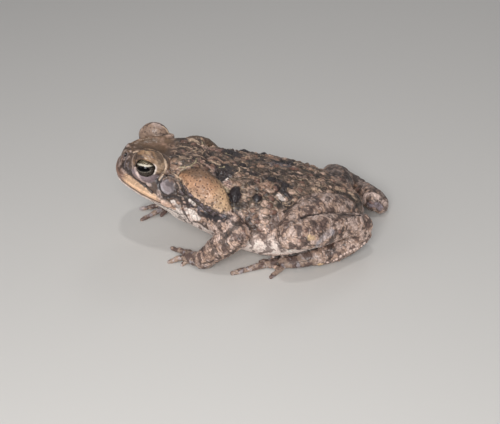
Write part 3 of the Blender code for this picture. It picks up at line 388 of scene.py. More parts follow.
# The camera: azimuth and elevation, roll, distance, and the place that it looks at
VIEW_AZIMUTH = 92.5
VIEW_ELEVATION = 32.0
VIEW_ROLL = -2.0
VIEW_DISTANCE = 515.0
VIEW_TARGET = (8.7, 66.7, 20.0)
LENS = 72.0
SENSOR = 36.0
# Lights: azimuth, elevation, distance and size in metres, and power
LIGHTS = {
    "key": (86, 33, 0.7, 0.3, 3.4),
    "spark": (92, 74, 0.8, 0.05, 0.8),
    "fill": (30, 30, 0.9, 0.5, 0.8),
    "rim": (250, 50, 0.9, 0.3, 0.45),
}
SKY = (0.95, 0.96, 1.0, 1.0)
SKY_STRENGTH = 0.3
FLOOR_TINT = (0.62, 0.60, 0.57, 1.0)
FLOOR_SIZE = 3.0

# The eye by direction from its centre, backwards and up: the pupil, and the iris' pale band, partly
# its own colour and partly a painted reflection
PUPIL_CENTRE = (-0.13, -0.07)
PUPIL_SIZE = (0.62, 0.26)
PUPIL_TURN = 0.25
IRIS_BAND_LOW = ((-0.7, -0.35, -0.05, 0.23, 0.49, 0.7), (0.09, 0.16, 0.2, 0.28, 0.43, 0.6))
IRIS_BAND_HIGH = ((-0.8, -0.5, -0.2, 0.1, 0.4, 0.6), (0.2, 0.27, 0.33, 0.41, 0.51, 0.5))


def unit(vector):
    return Vector(vector).normalized()


def head_axes():
    return Matrix.Rotation(-math.radians(HEAD_PITCH), 3, "X")


def head_point(place):
    """A place in the head's measures (left, behind the snout, above the mouth) in the toad's."""
    return Vector(SNOUT) + head_axes() @ Vector(place)


def in_head(points):
    """The toad's measures of many points, as the head's."""
    return (points - np.array(SNOUT)) @ np.array(head_axes())


def side_of(place, side):
    return tuple(place) if side > 0 else (-place[0],) + tuple(place[1:])


def body_place(place, side):
    """A place on the body, or its like on the other side, a little further back."""
    return Vector(side_of(place, side)) + Vector((0.0, OTHER_SIDE_BACK * (side < 0), 0.0))


def smooth_rows(rows, steps):
    """Rows of numbers joined by a Catmull-Rom curve, with this many steps from row to row."""
    rows = np.array(rows, float)
    padded = np.vstack([2 * rows[0] - rows[1], rows, 2 * rows[-1] - rows[-2]])
    found = []
    for index in range(1, len(rows)):
        before, start, end, after = padded[index - 1 : index + 3]
        for step in range(steps):
            t = step / steps
            bend = 2 * before - 5 * start + 4 * end - after
            turn = 3 * (start - end) + after - before
            found.append(start + 0.5 * t * (end - before + t * (bend + t * turn)))
    found.append(rows[-1])
    return np.array(found)


def add_loft(shape, rings, start_tip, end_tip):
    """Rings of equally many points joined into a closed form, with a fan to a tip at either end."""
    rows = [[shape.verts.new(Vector(point) * MM) for point in ring] for ring in rings]
    first = shape.verts.new(Vector(start_tip) * MM)
    last = shape.verts.new(Vector(end_tip) * MM)
    sides = len(rows[0])
    made = []
    for side in range(sides):
        after = (side + 1) % sides
        made.append(shape.faces.new((rows[0][after], rows[0][side], first)))
        made.append(shape.faces.new((rows[-1][side], rows[-1][after], last)))
        for here, there in zip(rows, rows[1:]):
            made.append(shape.faces.new((here[side], here[after], there[after], there[side])))
    bmesh.ops.recalc_face_normals(shape, faces=made)


def round_end(ring, reach, angle):
    place, across, rise, wide, high = ring
    shrink = math.cos(math.radians(angle))
    shift = reach * math.sin(math.radians(angle))
    return place + shift, across, rise, wide * shrink, high * shrink


def add_tube(shape, line, outward=UP, sides=LIMB_SIDES, steps=LIMB_STEPS):
    """Oval sections along a line of (x, y, z, half-width, half-height), with round ends."""
    rows = smooth_rows(line, steps)
    ways = np.gradient(rows[:, :3], axis=0)
    rings = []
    for place, way, sizes in zip(rows[:, :3], ways, rows[:, 3:5]):
        across = Vector(way).cross(Vector(outward)).normalized()
        rise = across.cross(Vector(way)).normalized()
        rings.append((Vector(place), across, rise, sizes[0], sizes[1]))
    start_reach = -unit(ways[0]) * min(rings[0][3:])
    end_reach = unit(ways[-1]) * min(rings[-1][3:])
    front = [round_end(rings[0], start_reach, angle) for angle in END_ANGLES]
    back = [round_end(rings[-1], end_reach, angle) for angle in END_ANGLES[::-1]]
    turns = [2 * math.pi * side / sides for side in range(sides)]
    outlines = [
        [place + across * wide * math.cos(turn) + rise * high * math.sin(turn) for turn in turns]
        for place, across, rise, wide, high in front + rings + back
    ]
    add_loft(shape, outlines, rings[0][0] + start_reach, rings[-1][0] + end_reach)


def add_ball(shape, centre, sizes, axes=None, sides=BALL_SIDES):
    """An ellipsoid of these half-sizes along the given axes."""
    axes = axes or Matrix.Identity(3)
    scale = Matrix.Diagonal(Vector(sizes)).to_4x4()
    place = Matrix.Translation(Vector(centre)) @ axes.to_4x4() @ scale
    place = Matrix.Scale(MM, 4) @ place
    bmesh.ops.create_uvsphere(
        shape, u_segments=sides, v_segments=sides // 2, radius=1, matrix=place
    )


def add_object(name, data):
    made = bpy.data.objects.new(name, data)
    bpy.context.scene.collection.objects.link(made)
    return made


def new_object(name, shape):
    mesh = bpy.data.meshes.new(name)
    shape.to_mesh(mesh)
    shape.free()
    return add_object(name, mesh)


def apply_modifiers(made):
    graph = bpy.context.evaluated_depsgraph_get()
    mesh = bpy.data.meshes.new_from_object(made.evaluated_get(graph))
    made.modifiers.clear()
    old = made.data
    made.data = mesh
    bpy.data.meshes.remove(old)


def voxel_skin(made, voxel):
    remesh = made.modifiers.new("skin", "REMESH")
    remesh.mode = "VOXEL"
    remesh.voxel_size = voxel * MM
    ease = made.modifiers.new("ease", "SMOOTH")
    ease.factor = SMOOTH_FACTOR
    ease.iterations = SMOOTH_ROUNDS
    apply_modifiers(made)


def cut(made, shape):
    """Takes one closed form away from the skin."""
    other = new_object("cutter", shape)
    step = made.modifiers.new("cut", "BOOLEAN")
    step.operation = "DIFFERENCE"
    step.solver = "MANIFOLD"
    step.object = other
    apply_modifiers(made)
    bpy.data.objects.remove(other, do_unlink=True)


def head_profile(width, chin, cheek_width, cheek_height, crest_width, crest_height, crown):
    """Half of a head section, from the middle of the crown round to the middle of the chin."""
    return (
        (0.0, crown),
        (crest_width * 0.6, crown + 0.35 * (crest_height - crown)),
        (crest_width, crest_height),
        (cheek_width, cheek_height),
        (width, LIP_HEIGHT),
        (width - LIP_OVERHANG, -LIP_HEIGHT),
        (width * 0.74, chin * 0.72),
        (width * 0.38, chin * 0.98),
        (0.0, chin),
    )


def whole_outline(half):
    """Both sides of a half outline, as one smooth closed ring of (across, up)."""
    full = list(half) + [(-across, up) for across, up in half[-2:0:-1]]
    wrapped = smooth_rows(full[-2:] + full + full[:3], OUTLINE_STEPS)
    start = 2 * OUTLINE_STEPS
    return wrapped[start : start + len(full) * OUTLINE_STEPS]


def head_rings():
    rings = []
    for s, *sizes in HEAD_SECTIONS:
        outline = whole_outline(head_profile(*sizes))
        rings.append([head_point((across, s, up)) for across, up in outline])
    return rings


def body_rings(count):
    """Rings of this many points round the body's sections."""
    rings = []
    for y, pitch, middle, width, low, high in BODY_SECTIONS:
        tilt = Matrix.Rotation(-math.radians(pitch), 3, "X")
        ring = []
        for index in range(count):
            turn = 2 * math.pi * index / count
            across, up = math.sin(turn), math.cos(turn)
            side = math.copysign(abs(across) ** BODY_SQUARENESS, across) * width
            flat = math.copysign(abs(up) ** BELLY_FLATNESS, up)
            rise = up * (high - middle) if up > 0 else flat * (middle - low)
            ring.append(Vector((0.0, y, middle)) + tilt @ Vector((side, 0.0, rise)))
        rings.append(ring)
    return rings


def add_trunk(shape):
    """Head and body in one, through every section."""
    head = head_rings()
    rings = np.array([[list(point) for point in ring] for ring in head + body_rings(len(head[0]))])
    rows = smooth_rows(rings.reshape(len(rings), -1), SECTION_STEPS)
    rings = rows.reshape(len(rows), -1, 3)
    add_loft(shape, rings, head_point((0.0, *SNOUT_TIP)), (0.0, *BODY_END))


def mouth_line():
    """The lips' outline in the head's measures, from the right corner of the jaw to the left."""
    rows = [section[:2] for section in HEAD_SECTIONS]
    side = [(width - LIP_SINK, s, 0.0) for s, width in rows if s <= JAW_CORNER]
    front = (0.0, SNOUT_TIP[0] + LIP_SINK, 0.0)
    return [side_of(place, -1) for place in side[::-1]] + [front] + side


def drum_turn(side):
    facing = head_axes() @ unit(side_of(DRUM_FACING, side))
    return facing.to_track_quat("Z", "Y").to_matrix()


def add_face(shape, side):
    """Crest, lids and eardrum on one side of the head."""
    line = [head_point(side_of(place, side)) for place in CREST_LINE]
    rows = [tuple(point) + (CREST_RADIUS, CREST_RADIUS) for point in line]
    add_tube(shape, rows, sides=CREST_SIDES, steps=CREST_STEPS)
    add_ball(shape, head_point(side_of(LID_CENTRE, side)), LID_SIZE, head_axes())
    add_ball(shape, head_point(side_of(LOWER_LID_CENTRE, side)), LOWER_LID_SIZE, head_axes())
    sizes = DRUM_RADII + (DRUM_DEPTH,)
    add_ball(shape, head_point(side_of(DRUM_CENTRE, side)), sizes, drum_turn(side))


def gland_rows(side):
    rows = []
    for index, (x, y, z, wide, thick) in enumerate(GLAND_LINE):
        share = index / (len(GLAND_LINE) - 1)
        slide = GLAND_SLIDE_RIGHT[0] * (1 - share) + GLAND_SLIDE_RIGHT[1] * share
        if side > 0:
            slide = 0.0
        rows.append(side_of((x, y - slide, z - slide * GLAND_DROP, wide, thick), side))
    return rows


def digit_place(digit, share):
    """The place on the floor plan at this share of a digit's length."""
    x, y, tip_x, tip_y, _ = digit
    return x + (tip_x - x) * share, y + (tip_y - y) * share


def digit_lines(name):
    """The fingers or toes of one limb along the floor, each a little swollen at its joints."""
    arch = HAND_ARCH if name.startswith("fingers") else FOOT_ARCH
    found = []
    for digit in DIGITS[name]:
        rows = []
        for share, rise, size in DIGIT_SHAPE:
            radius = digit[-1] * size
            height = radius - DIGIT_SINK + rise * arch
            rows.append((*digit_place(digit, share), height, radius, radius))
        found.append(rows)
    return found


def add_web(shape, first, second):
    """A thin web from the roots of two toes to part of the way along them."""
    rings = []
    top, under = WEB_HEIGHT + WEB_HALF_THICKNESS, WEB_HEIGHT - WEB_HALF_THICKNESS
    for step in range(WEB_STEPS + 1):
        share = WEB_REACH * step / WEB_STEPS
        here, there = digit_place(first, share), digit_place(second, share)
        rings.append([here + (top,), there + (top,), there + (under,), here + (under,)])
    add_loft(shape, rings, np.mean(rings[0], axis=0), np.mean(rings[-1], axis=0))


def add_limbs(shape):
    for name, line in LIMBS.items():
        add_tube(shape, line, LIMB_FACINGS.get(name, UP))
    for name, digits in DIGITS.items():
        for line in digit_lines(name):
            add_tube(shape, line, sides=DIGIT_SIDES)
        if name.startswith("toes"):
            for first, second in zip(digits, digits[1:]):
                add_web(shape, first, second)


def eye_cutters(side):
    """The socket behind the lids, and the gap between them, squarer along the upper lid."""
    centre = head_point(side_of(EYE_CENTRE, side))
    size = EYE_RADIUS + SOCKET_CLEARANCE
    socket = bmesh.new()
    add_ball(socket, centre, (size, size, size), head_axes())
    gap = bmesh.new()
    gaze = head_axes() @ unit(side_of(EYE_GAZE, side))
    across = gaze.cross(head_axes() @ Vector(UP)).normalized()
    rise = across.cross(gaze)
    half, above, below = EYE_OPENING
    rings = []
    for reach, spread in EYE_GAP:
        ring = []
        for index in range(GAP_SIDES):
            turn = 2 * math.pi * index / GAP_SIDES
            out, high = math.cos(turn), math.sin(turn)
            square, tall = (LID_SQUARENESS, above) if high > 0 else (1.0, below)
            out = math.copysign(abs(out) ** square, out) * (half + spread)
            high = math.copysign(abs(high) ** square, high) * (tall + spread)
            ring.append(centre + gaze * reach + across * out + rise * high)
        rings.append(ring)
    add_loft(gap, rings, *[centre + gaze * tip for tip in GAP_TIPS])
    return socket, gap


def bare_skin():
    """The whole toad's form as one closed skin, with open eyes and a flat underside."""
    shape = bmesh.new()
    add_trunk(shape)
    lip = [head_point((x, s, UPPER_LIP_HEIGHT)) for x, s, _ in mouth_line()]
    rows = [tuple(point) + (UPPER_LIP_RADIUS, UPPER_LIP_RADIUS) for point in lip]
    add_tube(shape, rows, sides=LIP_SIDES, steps=LIP_STEPS)
    for side in (1, -1):
        add_face(shape, side)
        add_tube(shape, gland_rows(side), unit(side_of(GLAND_FACING, side)))
    add_limbs(shape)
    made = new_object("skin", shape)
    voxel_skin(made, FIRST_VOXEL)
    for side in (1, -1):
        for cutter in eye_cutters(side):
            cut(made, cutter)
    floor = bmesh.new()
    size = Matrix.Diagonal((FLOOR_WIDTH, FLOOR_WIDTH, FLOOR_DEPTH)).to_4x4()
    place = Matrix.Scale(MM, 4) @ Matrix.Translation((0, 0, -FLOOR_DEPTH / 2)) @ size
    bmesh.ops.create_cube(floor, size=1, matrix=place)
    cut(made, floor)
    voxel_skin(made, SKIN_VOXEL)
    return made


def read_points(mesh):
    values = np.empty(len(mesh.vertices) * 3)
    mesh.vertices.foreach_get("co", values)
    return values.reshape(-1, 3) / MM


def read_normals(mesh):
    values = np.empty(len(mesh.vertices) * 3, np.float32)
    mesh.vertex_normals.foreach_get("vector", values)
    return values.reshape(-1, 3).astype(float)


def write_points(mesh, points):
    mesh.vertices.foreach_set("co", (points * MM).ravel())
    mesh.update()


def step(values, low, high):
    """0 below low, 1 above high, and smooth between."""
    t = np.clip((values - low) / (high - low), 0, 1)
    return t * t * (3 - 2 * t)


def fall(values, low, high):
    """1 below low, 0 above high, and smooth between."""
    return 1 - step(values, low, high)


def bump(values, middle, width):
    """1 at the middle, and down to nothing a few widths from it."""
    return np.exp(-(((values - middle) / width) ** 2))


def pick_slot(lot, corner):
    """A number from the shuffled lot for each corner of a grid."""
    x, y, z = (corner & SLOT_BITS).T
    return lot[(lot[(lot[x] + y) & SLOT_BITS] + z) & SLOT_BITS]


def gradient_noise(points, size, seed):
    """Smooth noise from about -1 to 1 with features of this size."""
    draw = np.random.default_rng(seed)
    lot = draw.permutation(SLOTS)
    slopes = draw.normal(size=(SLOTS, 3))
    slopes /= np.linalg.norm(slopes, axis=1)[:, None]
    scaled = points / size + draw.uniform(0, 50, 3)
    corner = np.floor(scaled).astype(int)
    local = scaled - corner
    fade = local * local * local * (local * (local * 6 - 15) + 10)
    total = np.zeros(len(points))
    for index in range(8):
        shift = np.array([index >> 2 & 1, index >> 1 & 1, index & 1])
        slope = slopes[pick_slot(lot, corner + shift)]
        weight = np.prod(np.where(shift, fade, 1 - fade), axis=1)
        total += weight * ((local - shift) * slope).sum(axis=1)
    return total * 1.6


def layered(points, size, octaves, seed):
    total = np.zeros(len(points))
    for octave in range(octaves):
        total += gradient_noise(points, size / 2**octave, seed + octave) / 2**octave
    return total


def cells(points, size, seed):
    """For scattered points of about this spacing: nearest and next distance, and a random share."""
    draw = np.random.default_rng(seed)
    lot = draw.permutation(SLOTS)
    jitter = draw.uniform(0, 1, (SLOTS, 4))
    scaled = points / size
    corner = np.floor(scaled).astype(int)
    first = np.full(len(points), FAR)
    second = np.full(len(points), FAR)
    chosen = np.zeros(len(points))
    for index in range(27):
        near = corner + np.array([index // 9 - 1, index // 3 % 3 - 1, index % 3 - 1])
        pick = jitter[pick_slot(lot, near)]
        far = np.linalg.norm(near + pick[:, :3] - scaled, axis=1)
        closer = far < first
        second = np.where(closer, first, np.minimum(second, far))
        chosen = np.where(closer, pick[:, 3], chosen)
        first = np.where(closer, far, first)
    return first, second, chosen


def along(points, line, outward=UP, steps=3, reach=2.2):
    """Each point's distance from a line, in the line's own radii (FAR beyond its reach)."""
    rows = smooth_rows(line, steps)
    spread = rows[:, 3:5].max() * reach
    low, high = rows[:, :3].min(axis=0) - spread, rows[:, :3].max(axis=0) + spread
    near = np.nonzero(((points > low) & (points < high)).all(axis=1))[0]
    place = points[near]
    best = np.full(len(near), FAR)
    for start, end in zip(rows, rows[1:]):
        length = np.linalg.norm(end[:3] - start[:3])
        way = (end[:3] - start[:3]) / length
        across = np.cross(way, np.array(outward) + 1e-6)
        across /= np.linalg.norm(across)
        rise = np.cross(across, way)
        local = place - start[:3]
        t = np.clip(local @ way / length, 0, 1)
        wide = start[3] + (end[3] - start[3]) * t
        tall = start[4] + (end[4] - start[4]) * t
        past = (local @ way - t * length) / np.minimum(wide, tall)
        far = np.sqrt((local @ across / wide) ** 2 + (local @ rise / tall) ** 2 + past**2)
        best = np.where(far < best, far, best)
    depth = np.full(len(points), FAR)
    depth[near] = best
    return depth


def colour(text):
    """A colour written as six hexadecimal digits, in linear light."""
    parts = [int(text[index : index + 2], 16) / 255 for index in (0, 2, 4)]
    return np.array([((p + 0.055) / 1.055) ** 2.4 if p > 0.04 else p / 12.92 for p in parts])


TINTS = {
    name: colour(text)
    for name, text in map(str.split, """
        olive 5c4d40, olive_dark 2c2522, ring 9a8f74, pink b4998b, tan 8f7363, brown 463935,
        belly efe0dc, blotch 53413f, maroon 1f171a, rust 6a4c43, gland ad8467, gland_low cdb09a,
        gland_top 6b5341, pore 5a3a30, lip c6a589, lip_front 806458, crown 67513f,
        crown_pink a08272, crown_dark 3a2e28, lid 8c6f56, lid_dark 423229, lid_pink 8d7668,
        under_lid 84767c, loreal 4d3c33, drum 8a8085, drum_dark 4a4043, black 251e21,
        cream bfa585, sand b39c88, umber 352925, rose a78a82, blush d2bcb5, lilac 857c86,
        white e2d7d3, slate 615a5f, frost b6b3bd, palm 927e73, steel 6e6470,
        eyeball 120f0e, iris 2b2623, iris_fleck 62574c, iris_top 3a2f22, iris_gold b5a88c,
        iris_band d9d0bd, iris_arc 8d867c, pupil 040303
    """.split(","))
}
# A warm cast of the light, painted into every skin colour
WARM_LIGHT_TONE = (1.0, 0.965, 0.91)


def cover(base, *coats):
    """Colours under coats of (tint, mask), one over another; a tint is a name or an array."""
    tints = TINTS[base] if isinstance(base, str) else base
    for tint, mask in coats:
        tint = TINTS[tint] if isinstance(tint, str) else tint
        tints = tints + (tint - tints) * np.clip(mask, 0, 1)[:, None]
    return tints


class Skin:
    """The skin's mesh with its points, regions, heights and colours, one value a vertex."""

    def __init__(self, made):
        self.made = made
        self.mesh = made.data
        self.points = read_points(self.mesh)
        self.normals = read_normals(self.mesh)
        self.head = in_head(self.points)
        self.height = np.zeros(len(self.points))
        self.depth = {}
        for name, line in LIMBS.items():
            self.depth[name] = along(self.points, line, LIMB_FACINGS.get(name, UP))
        for name in DIGITS:
            found = [along(self.points, line, steps=1) for line in digit_lines(name)]
            self.depth[name] = np.min(found, axis=0)
        for side, word in ((1, "left"), (-1, "right")):
            facing = unit(side_of(GLAND_FACING, side))
            self.depth["gland_" + word] = along(self.points, gland_rows(side), facing)
        self.tree = KDTree(len(self.points))
        for index, point in enumerate(self.points):
            self.tree.insert(point, index)
        self.tree.balance()
        edges = np.empty(len(self.mesh.edges) * 2, np.int32)
        self.mesh.edges.foreach_get("vertices", edges)
        self.edges = edges.reshape(-1, 2)
        self.wobble = layered(self.points, 1.7, 2, 300)
        bends = [layered(self.points, 5.0, 2, seed) for seed in (310, 320, 330)]
        self.bend = np.stack(bends, axis=1)

    def on(self, *names, inner=1.04, outer=1.2):
        """How much each vertex belongs to the named forms."""
        return fall(np.min([self.depth[name] for name in names], axis=0), inner, outer)

    def near_head(self, place, sizes):
        """Distance from a place on either side of the head, in these half-sizes."""
        apart = [(self.head - side_of(place, side)) / sizes for side in (1, -1)]
        return np.min([np.linalg.norm(way, axis=1) for way in apart], axis=0)

    def on_surface(self, place):
        return self.points[self.tree.find(place)[1]]

    def hollow(self, points, rounds):
        """How deep each point lies below the mean of its surroundings, wider with more rounds."""
        first, second = self.edges.T
        count = np.bincount(self.edges.ravel(), minlength=len(points)) + 1.0
        mean = points.copy()
        for _ in range(rounds):
            total = mean.copy()
            for axis in range(3):
                total[:, axis] += np.bincount(first, mean[second, axis], len(points))
                total[:, axis] += np.bincount(second, mean[first, axis], len(points))
            mean = total / count[:, None]
        return ((mean - points) * self.normals).sum(axis=1)


def regions(skin):
    """Masks of the head's and body's regions, 0 to 1, and distances from eyes, drums and glands."""
    x, y, z = skin.points.T
    left, s, up = skin.head.T
    across = np.abs(left)
    facing = skin.normals[:, 2]
    area = SimpleNamespace()
    area.limb = skin.on(*LIMBS, *DIGITS)
    outside = 1 - area.limb
    area.paw = skin.on("palm_left", "palm_right", "foot_left", "foot_right", *DIGITS, outer=1.4)
    area.gland = skin.on("gland_left", "gland_right", inner=1.0, outer=1.08) * outside
    area.gland_edge = np.minimum(skin.depth["gland_left"], skin.depth["gland_right"])
    area.head = fall(s, 32.0, 38.0) * step(z, 12.0, 20.0) * outside
    sections = np.array(HEAD_SECTIONS)
    width = np.interp(s, sections[:, 0], sections[:, 5])
    area.crown = area.head * fall(across, width - 0.6, width + 0.8) * step(up, 6, 8)
    area.crown *= fall(s + 1.5 * skin.bend[:, 0], 20.0, 24.0)
    upper = step(up, 12.5, 13.6)
    lids = skin.near_head(LID_CENTRE, LID_SIZE)
    area.lid = fall(lids, 1.03, 1.1) * area.head * upper
    area.lid_edge = fall(lids, 1.2, 1.45) * area.head * upper
    inner = np.where(left > 0, 12.4, 16.4) - 0.2 * skin.wobble
    area.inner_lid = fall(across - inner, -0.4, 0.4)
    under = skin.near_head(LOWER_LID_CENTRE, LOWER_LID_SIZE)
    area.under_lid = fall(under, 1.02, 1.15) * area.head * (1 - upper)
    area.drum_distance = skin.near_head(DRUM_CENTRE, DRUM_REACH)
    area.drum = fall(area.drum_distance, 0.9, 1.0)
    under_side = fall(facing, -0.5, -0.05)
    low = fall(z + 2.0 * skin.bend[:, 0], 15.0, 24.0)
    area.belly = np.clip(under_side + low, 0, 1) * outside * step(s, 20, 34)
    area.belly *= 1 - step(np.abs(x), 27, 30) * fall(z, 6, 9)
    area.belly *= 1 - step(y, 104, 114) * step(z, 4, 8)
    area.throat = fall(up, -1.2, -0.4) * fall(s, 34, 44) * outside
    area.back = step(facing, 0.1, 0.6) * outside * (1 - area.gland)
    area.eye_rim = np.full(len(x), FAR)
    area.eye_corner = np.zeros(len(x))
    half, above, below = EYE_OPENING
    for side in (1, -1):
        out, back, rise = ((skin.head - side_of(EYE_CENTRE, side)) @ eye_axes(side).T).T
        back, rise = back / half, rise / np.where(rise > 0, above, below)
        power = np.where(rise > 0, 2 / LID_SQUARENESS, 2.0)
        rho = np.where(out > 0, (np.abs(back) ** power + np.abs(rise) ** power) ** (1 / power), FAR)
        corner = step(back, 0.55, 0.75) * step(rise, -0.5, -0.25)
        area.eye_corner = np.where(rho < area.eye_rim, corner, area.eye_corner)
        area.eye_rim = np.minimum(area.eye_rim, rho)
    return area


def eye_axes(side):
    """Gaze, backwards and up at one eye, as rows in the head's axes."""
    gaze = unit(side_of(EYE_GAZE, side))
    across = Vector((0, 0, 1)).cross(gaze).normalized()
    return np.array([gaze, across * side, gaze.cross(across)])


def cobbles(skin, size, stretch, seed):
    """Irregular granules: depth inside each (0 at its edge), and a random share for each one."""
    bent = (skin.points + 0.5 * skin.bend + 0.25 * skin.wobble[:, None]) * stretch
    first, second, pick = cells(bent, size, seed)
    return (second - first) * size, pick


def paint_body(skin, area):
    """Back, flanks, limbs and underside."""
    x, y, z = skin.points.T
    facing = skin.normals[:, 2]
    bent = skin.points + 1.6 * skin.bend
    patch = layered(bent * (1.2, 0.75, 1.0), 8.0, 2, 20)
    spot = layered(bent, 4.6, 3, 30)
    inside, pick = skin.back_cobbles
    rim = step(inside, 0.12, 0.22) * fall(inside, 0.34, 0.52) * step(pick, 0.45, 0.55)
    back = cover(
        "olive",
        ("olive_dark", 0.9 * step(patch, 0.0, 0.35)),
        ("pink", 0.75 * step(pick, 0.5, 0.75) * step(-patch, -0.3, 0.3)),
        ("tan", 0.5 * step(spot, 0.2, 0.5)),
        ("olive_dark", 0.7 * fall(pick, 0.12, 0.3)),
        ("ring", 0.5 * rim * step(skin.bend[:, 2], -0.1, 0.3)),
        ("umber", 0.65 * fall(inside, 0.04, 0.22)),
        # Painted shade on the parts of the back that face straight up
        ("umber", 0.4 * step(facing + 0.1 * patch, 0.8, 0.97)),
        # Painted shadow along the dark side of each fold, next to its pale edge
        ("umber", 0.9 * skin.fold_dark),
        ("sand", 0.65 * skin.fold_pale),
    )
    inside, pick = skin.side_cobbles
    mottle = layered(bent * (0.9, 1.3, 0.7), 5.5, 3, 40)
    side = cover(
        "pink",
        ("tan", 0.5 * step(patch, -0.1, 0.5)),
        ("blush", 0.7 * step(-mottle, 0.05, 0.35)),
        ("blotch", 0.85 * step(mottle, 0.1, 0.3)),
        ("brown", 0.8 * step(spot, 0.2, 0.36)),
        ("brown", 0.4 * fall(pick, 0.14, 0.26)),
        ("blush", 0.4 * step(pick, 0.84, 0.9)),
        ("brown", 0.4 * fall(inside, 0.03, 0.13)),
    )
    # Painted shadow on the far thigh
    shade = 0.5 * step(-x, 8, 14) * step(y, 92, 104) * step(facing, -0.2, 0.4)
    flank = step(np.abs(x), 23, 29) * step(y, 53, 60) * fall(y, 86, 94)
    flank *= fall(z + 2.0 * patch, 30, 36)
    bars = layered(bent * (0.9, 1.5, 0.5), 6.0, 3, 70)
    edge = np.interp(z, (3, 12, 20), (0.5, 0.3, 0.1))
    belly = cover(
        "belly",
        ("blotch", 0.75 * step(bars, edge, edge + 0.14)),
        ("blotch", 0.3 * fall(pick, 0.1, 0.2)),
    )
    spots = fall(np.abs(layered(bent, 4.5, 2, 75)), 0.03, 0.12)
    paw = cover(
        "palm",
        ("blotch", 0.85 * step(layered(skin.points, 4.0, 3, 80), -0.12, 0.1)),
        ("frost", 0.4 * step(layered(skin.points, 3.0, 2, 81), 0.25, 0.45)),
    )
    tints = cover(
        side,
        (back, area.back * (1 - 0.9 * flank)),
        ("olive_dark", shade),
        (belly, area.belly),
        (cover("white", ("umber", 0.85 * spots)), area.throat),
        (paw, area.paw),
    )
    # Painted shade on the upward-facing rear of the back and thighs, and the flanks above the belly
    # painted lighter
    rear = step(y, 52, 90) * step(facing, 0.0, 0.6)
    return tints * (1 - 0.17 * rear + 0.15 * flank * (1 - area.limb))[:, None]


def paint_head(skin, area, tints):
    """Crown, cheeks, lips, lids, eardrums and the rims of the eyes, with painted light and shade on
    the crown and the eardrums.
    """
    left, s, up = skin.head.T
    cloud = layered(skin.points, 4.5, 3, 90)
    fine = skin.wobble
    lean = left + 1.2 * cloud
    middle = np.interp(s, (5, 12, 17, 21), (-4.5, -3.8, -1.8, -1.0))
    # Pink on the crown's far half and brown on its near half, darker behind the snout, are painted
    # light where the crown faces the light and painted shade where it slopes away
    crown = cover(
        "crown",
        ("crown_pink", step(cloud, -0.3, 0.5)),
        ("crown", step(lean - middle, -1.0, 1.2)),
        ("crown_dark", 0.4 * step(lean - middle, 0.0, 2.4) * step(s, 3, 7)),
        ("crown_dark", 0.5 * step(-lean - 0.25 * s, 4.4, 6.0) * step(s, 4, 8)),
        ("crown_dark", 0.75 * step(s + 1.5 * cloud, 19.5, 24.0)),
    )
    side = area.head * (1 - area.crown) * fall(s, 30, 36) * step(up, -1.0, -0.2)
    edge = np.interp(s, *LIP_EDGE) + 0.35 * fine
    lip = side * fall(up, edge - 0.3, edge + 0.4) * step(up, -0.7, -0.1)
    snout = side * fall(s + 0.3 * np.abs(left), 1.0, 4.5) * step(up, 3, 5) * fall(up, 8, 10)
    temple = side * step(s, 19.5, 22.5) * step(up, 9.5, 12) * fall(up, 18, 20)
    wrinkle = skin.lid_wrinkles
    outer = cover(
        "lid",
        ("lid_dark", 0.6 * step(cloud, 0.1, 0.6)),
        ("lid_dark", 0.8 * step(wrinkle, 0.0, 0.5)),
        ("cream", 0.6 * step(-wrinkle, 0.25, 0.7)),
        ("sand", 0.7 * step(s + cloud, 14.5, 18.5)),
    )
    first, _, pick = cells(skin.points, LID_DOT_SPACING, 92)
    dots = fall(first * LID_DOT_SPACING, 0.3, 0.42 + 0.2 * pick)
    dots *= fall(up + 0.6 * cloud, 20.8, 22.0)
    inner = cover(
        "lid_pink",
        ("blush", 0.6 * step(up, 21.2, 22.4)),
        ("lid_dark", 0.35 * step(cloud, -0.1, 0.5)),
        ("lid_dark", 0.7 * dots),
    )
    drum = area.drum_distance + 0.1 * fine + 0.1 * cloud
    shade = up - DRUM_CENTRE[2] + 0.6 * (s - DRUM_CENTRE[1]) + 1.6 * cloud
    nose = fall(s, 3.0, 7.5) * step(up, 1.8, 3.2) * area.head
    fleck = layered(skin.points, 2.2, 2, 97)
    return cover(
        tints,
        (crown, area.crown),
        ("loreal", side * fall(up, 12, 15)),
        ("slate", 0.5 * side * step(cloud, 0.1, 0.5) * fall(s, 8, 11)),
        ("lip_front", lip),
        ("lip", lip * step(s, 2.5, 6.5)),
        ("rose", 0.6 * lip * step(s, 20, 26)),
        ("lip_front", 0.6 * snout),
        ("tan", 0.85 * temple),
        ("brown", temple * step(cloud, 0.15, 0.5) * 0.7),
        ("crown_dark", 0.9 * area.lid_edge * (left > 0)),
        (cover(outer, (inner, area.inner_lid)), area.lid),
        ("under_lid", area.under_lid),
        ("black", (0.25 + 0.5 * step(cloud, -0.3, 0.2)) * fall(drum, 1.1, 1.5) * side),
        ("drum", fall(drum, 0.9, 1.0)),
        # Painted light on the eardrum's lower front and painted shade on its upper back, as on a
        # shallow dish
        ("frost", 0.5 * area.drum * step(-shade, 1.8, 3.2)),
        ("drum_dark", 0.75 * area.drum * step(shade, 0.0, 1.4)),
        ("tan", 0.5 * area.drum * step(shade + 2.0 * fine, 3.0, 4.2)),
        ("umber", 0.9 * fall(area.eye_rim, 1.06, 1.18)),
        ("umber", 0.65 * nose * step(fleck, 0.05, 0.35)),
        ("blush", 0.4 * nose * step(-fleck, 0.2, 0.5)),
        ("white", 0.85 * area.eye_corner * bump(area.eye_rim, 1.1, 0.075)),
    )


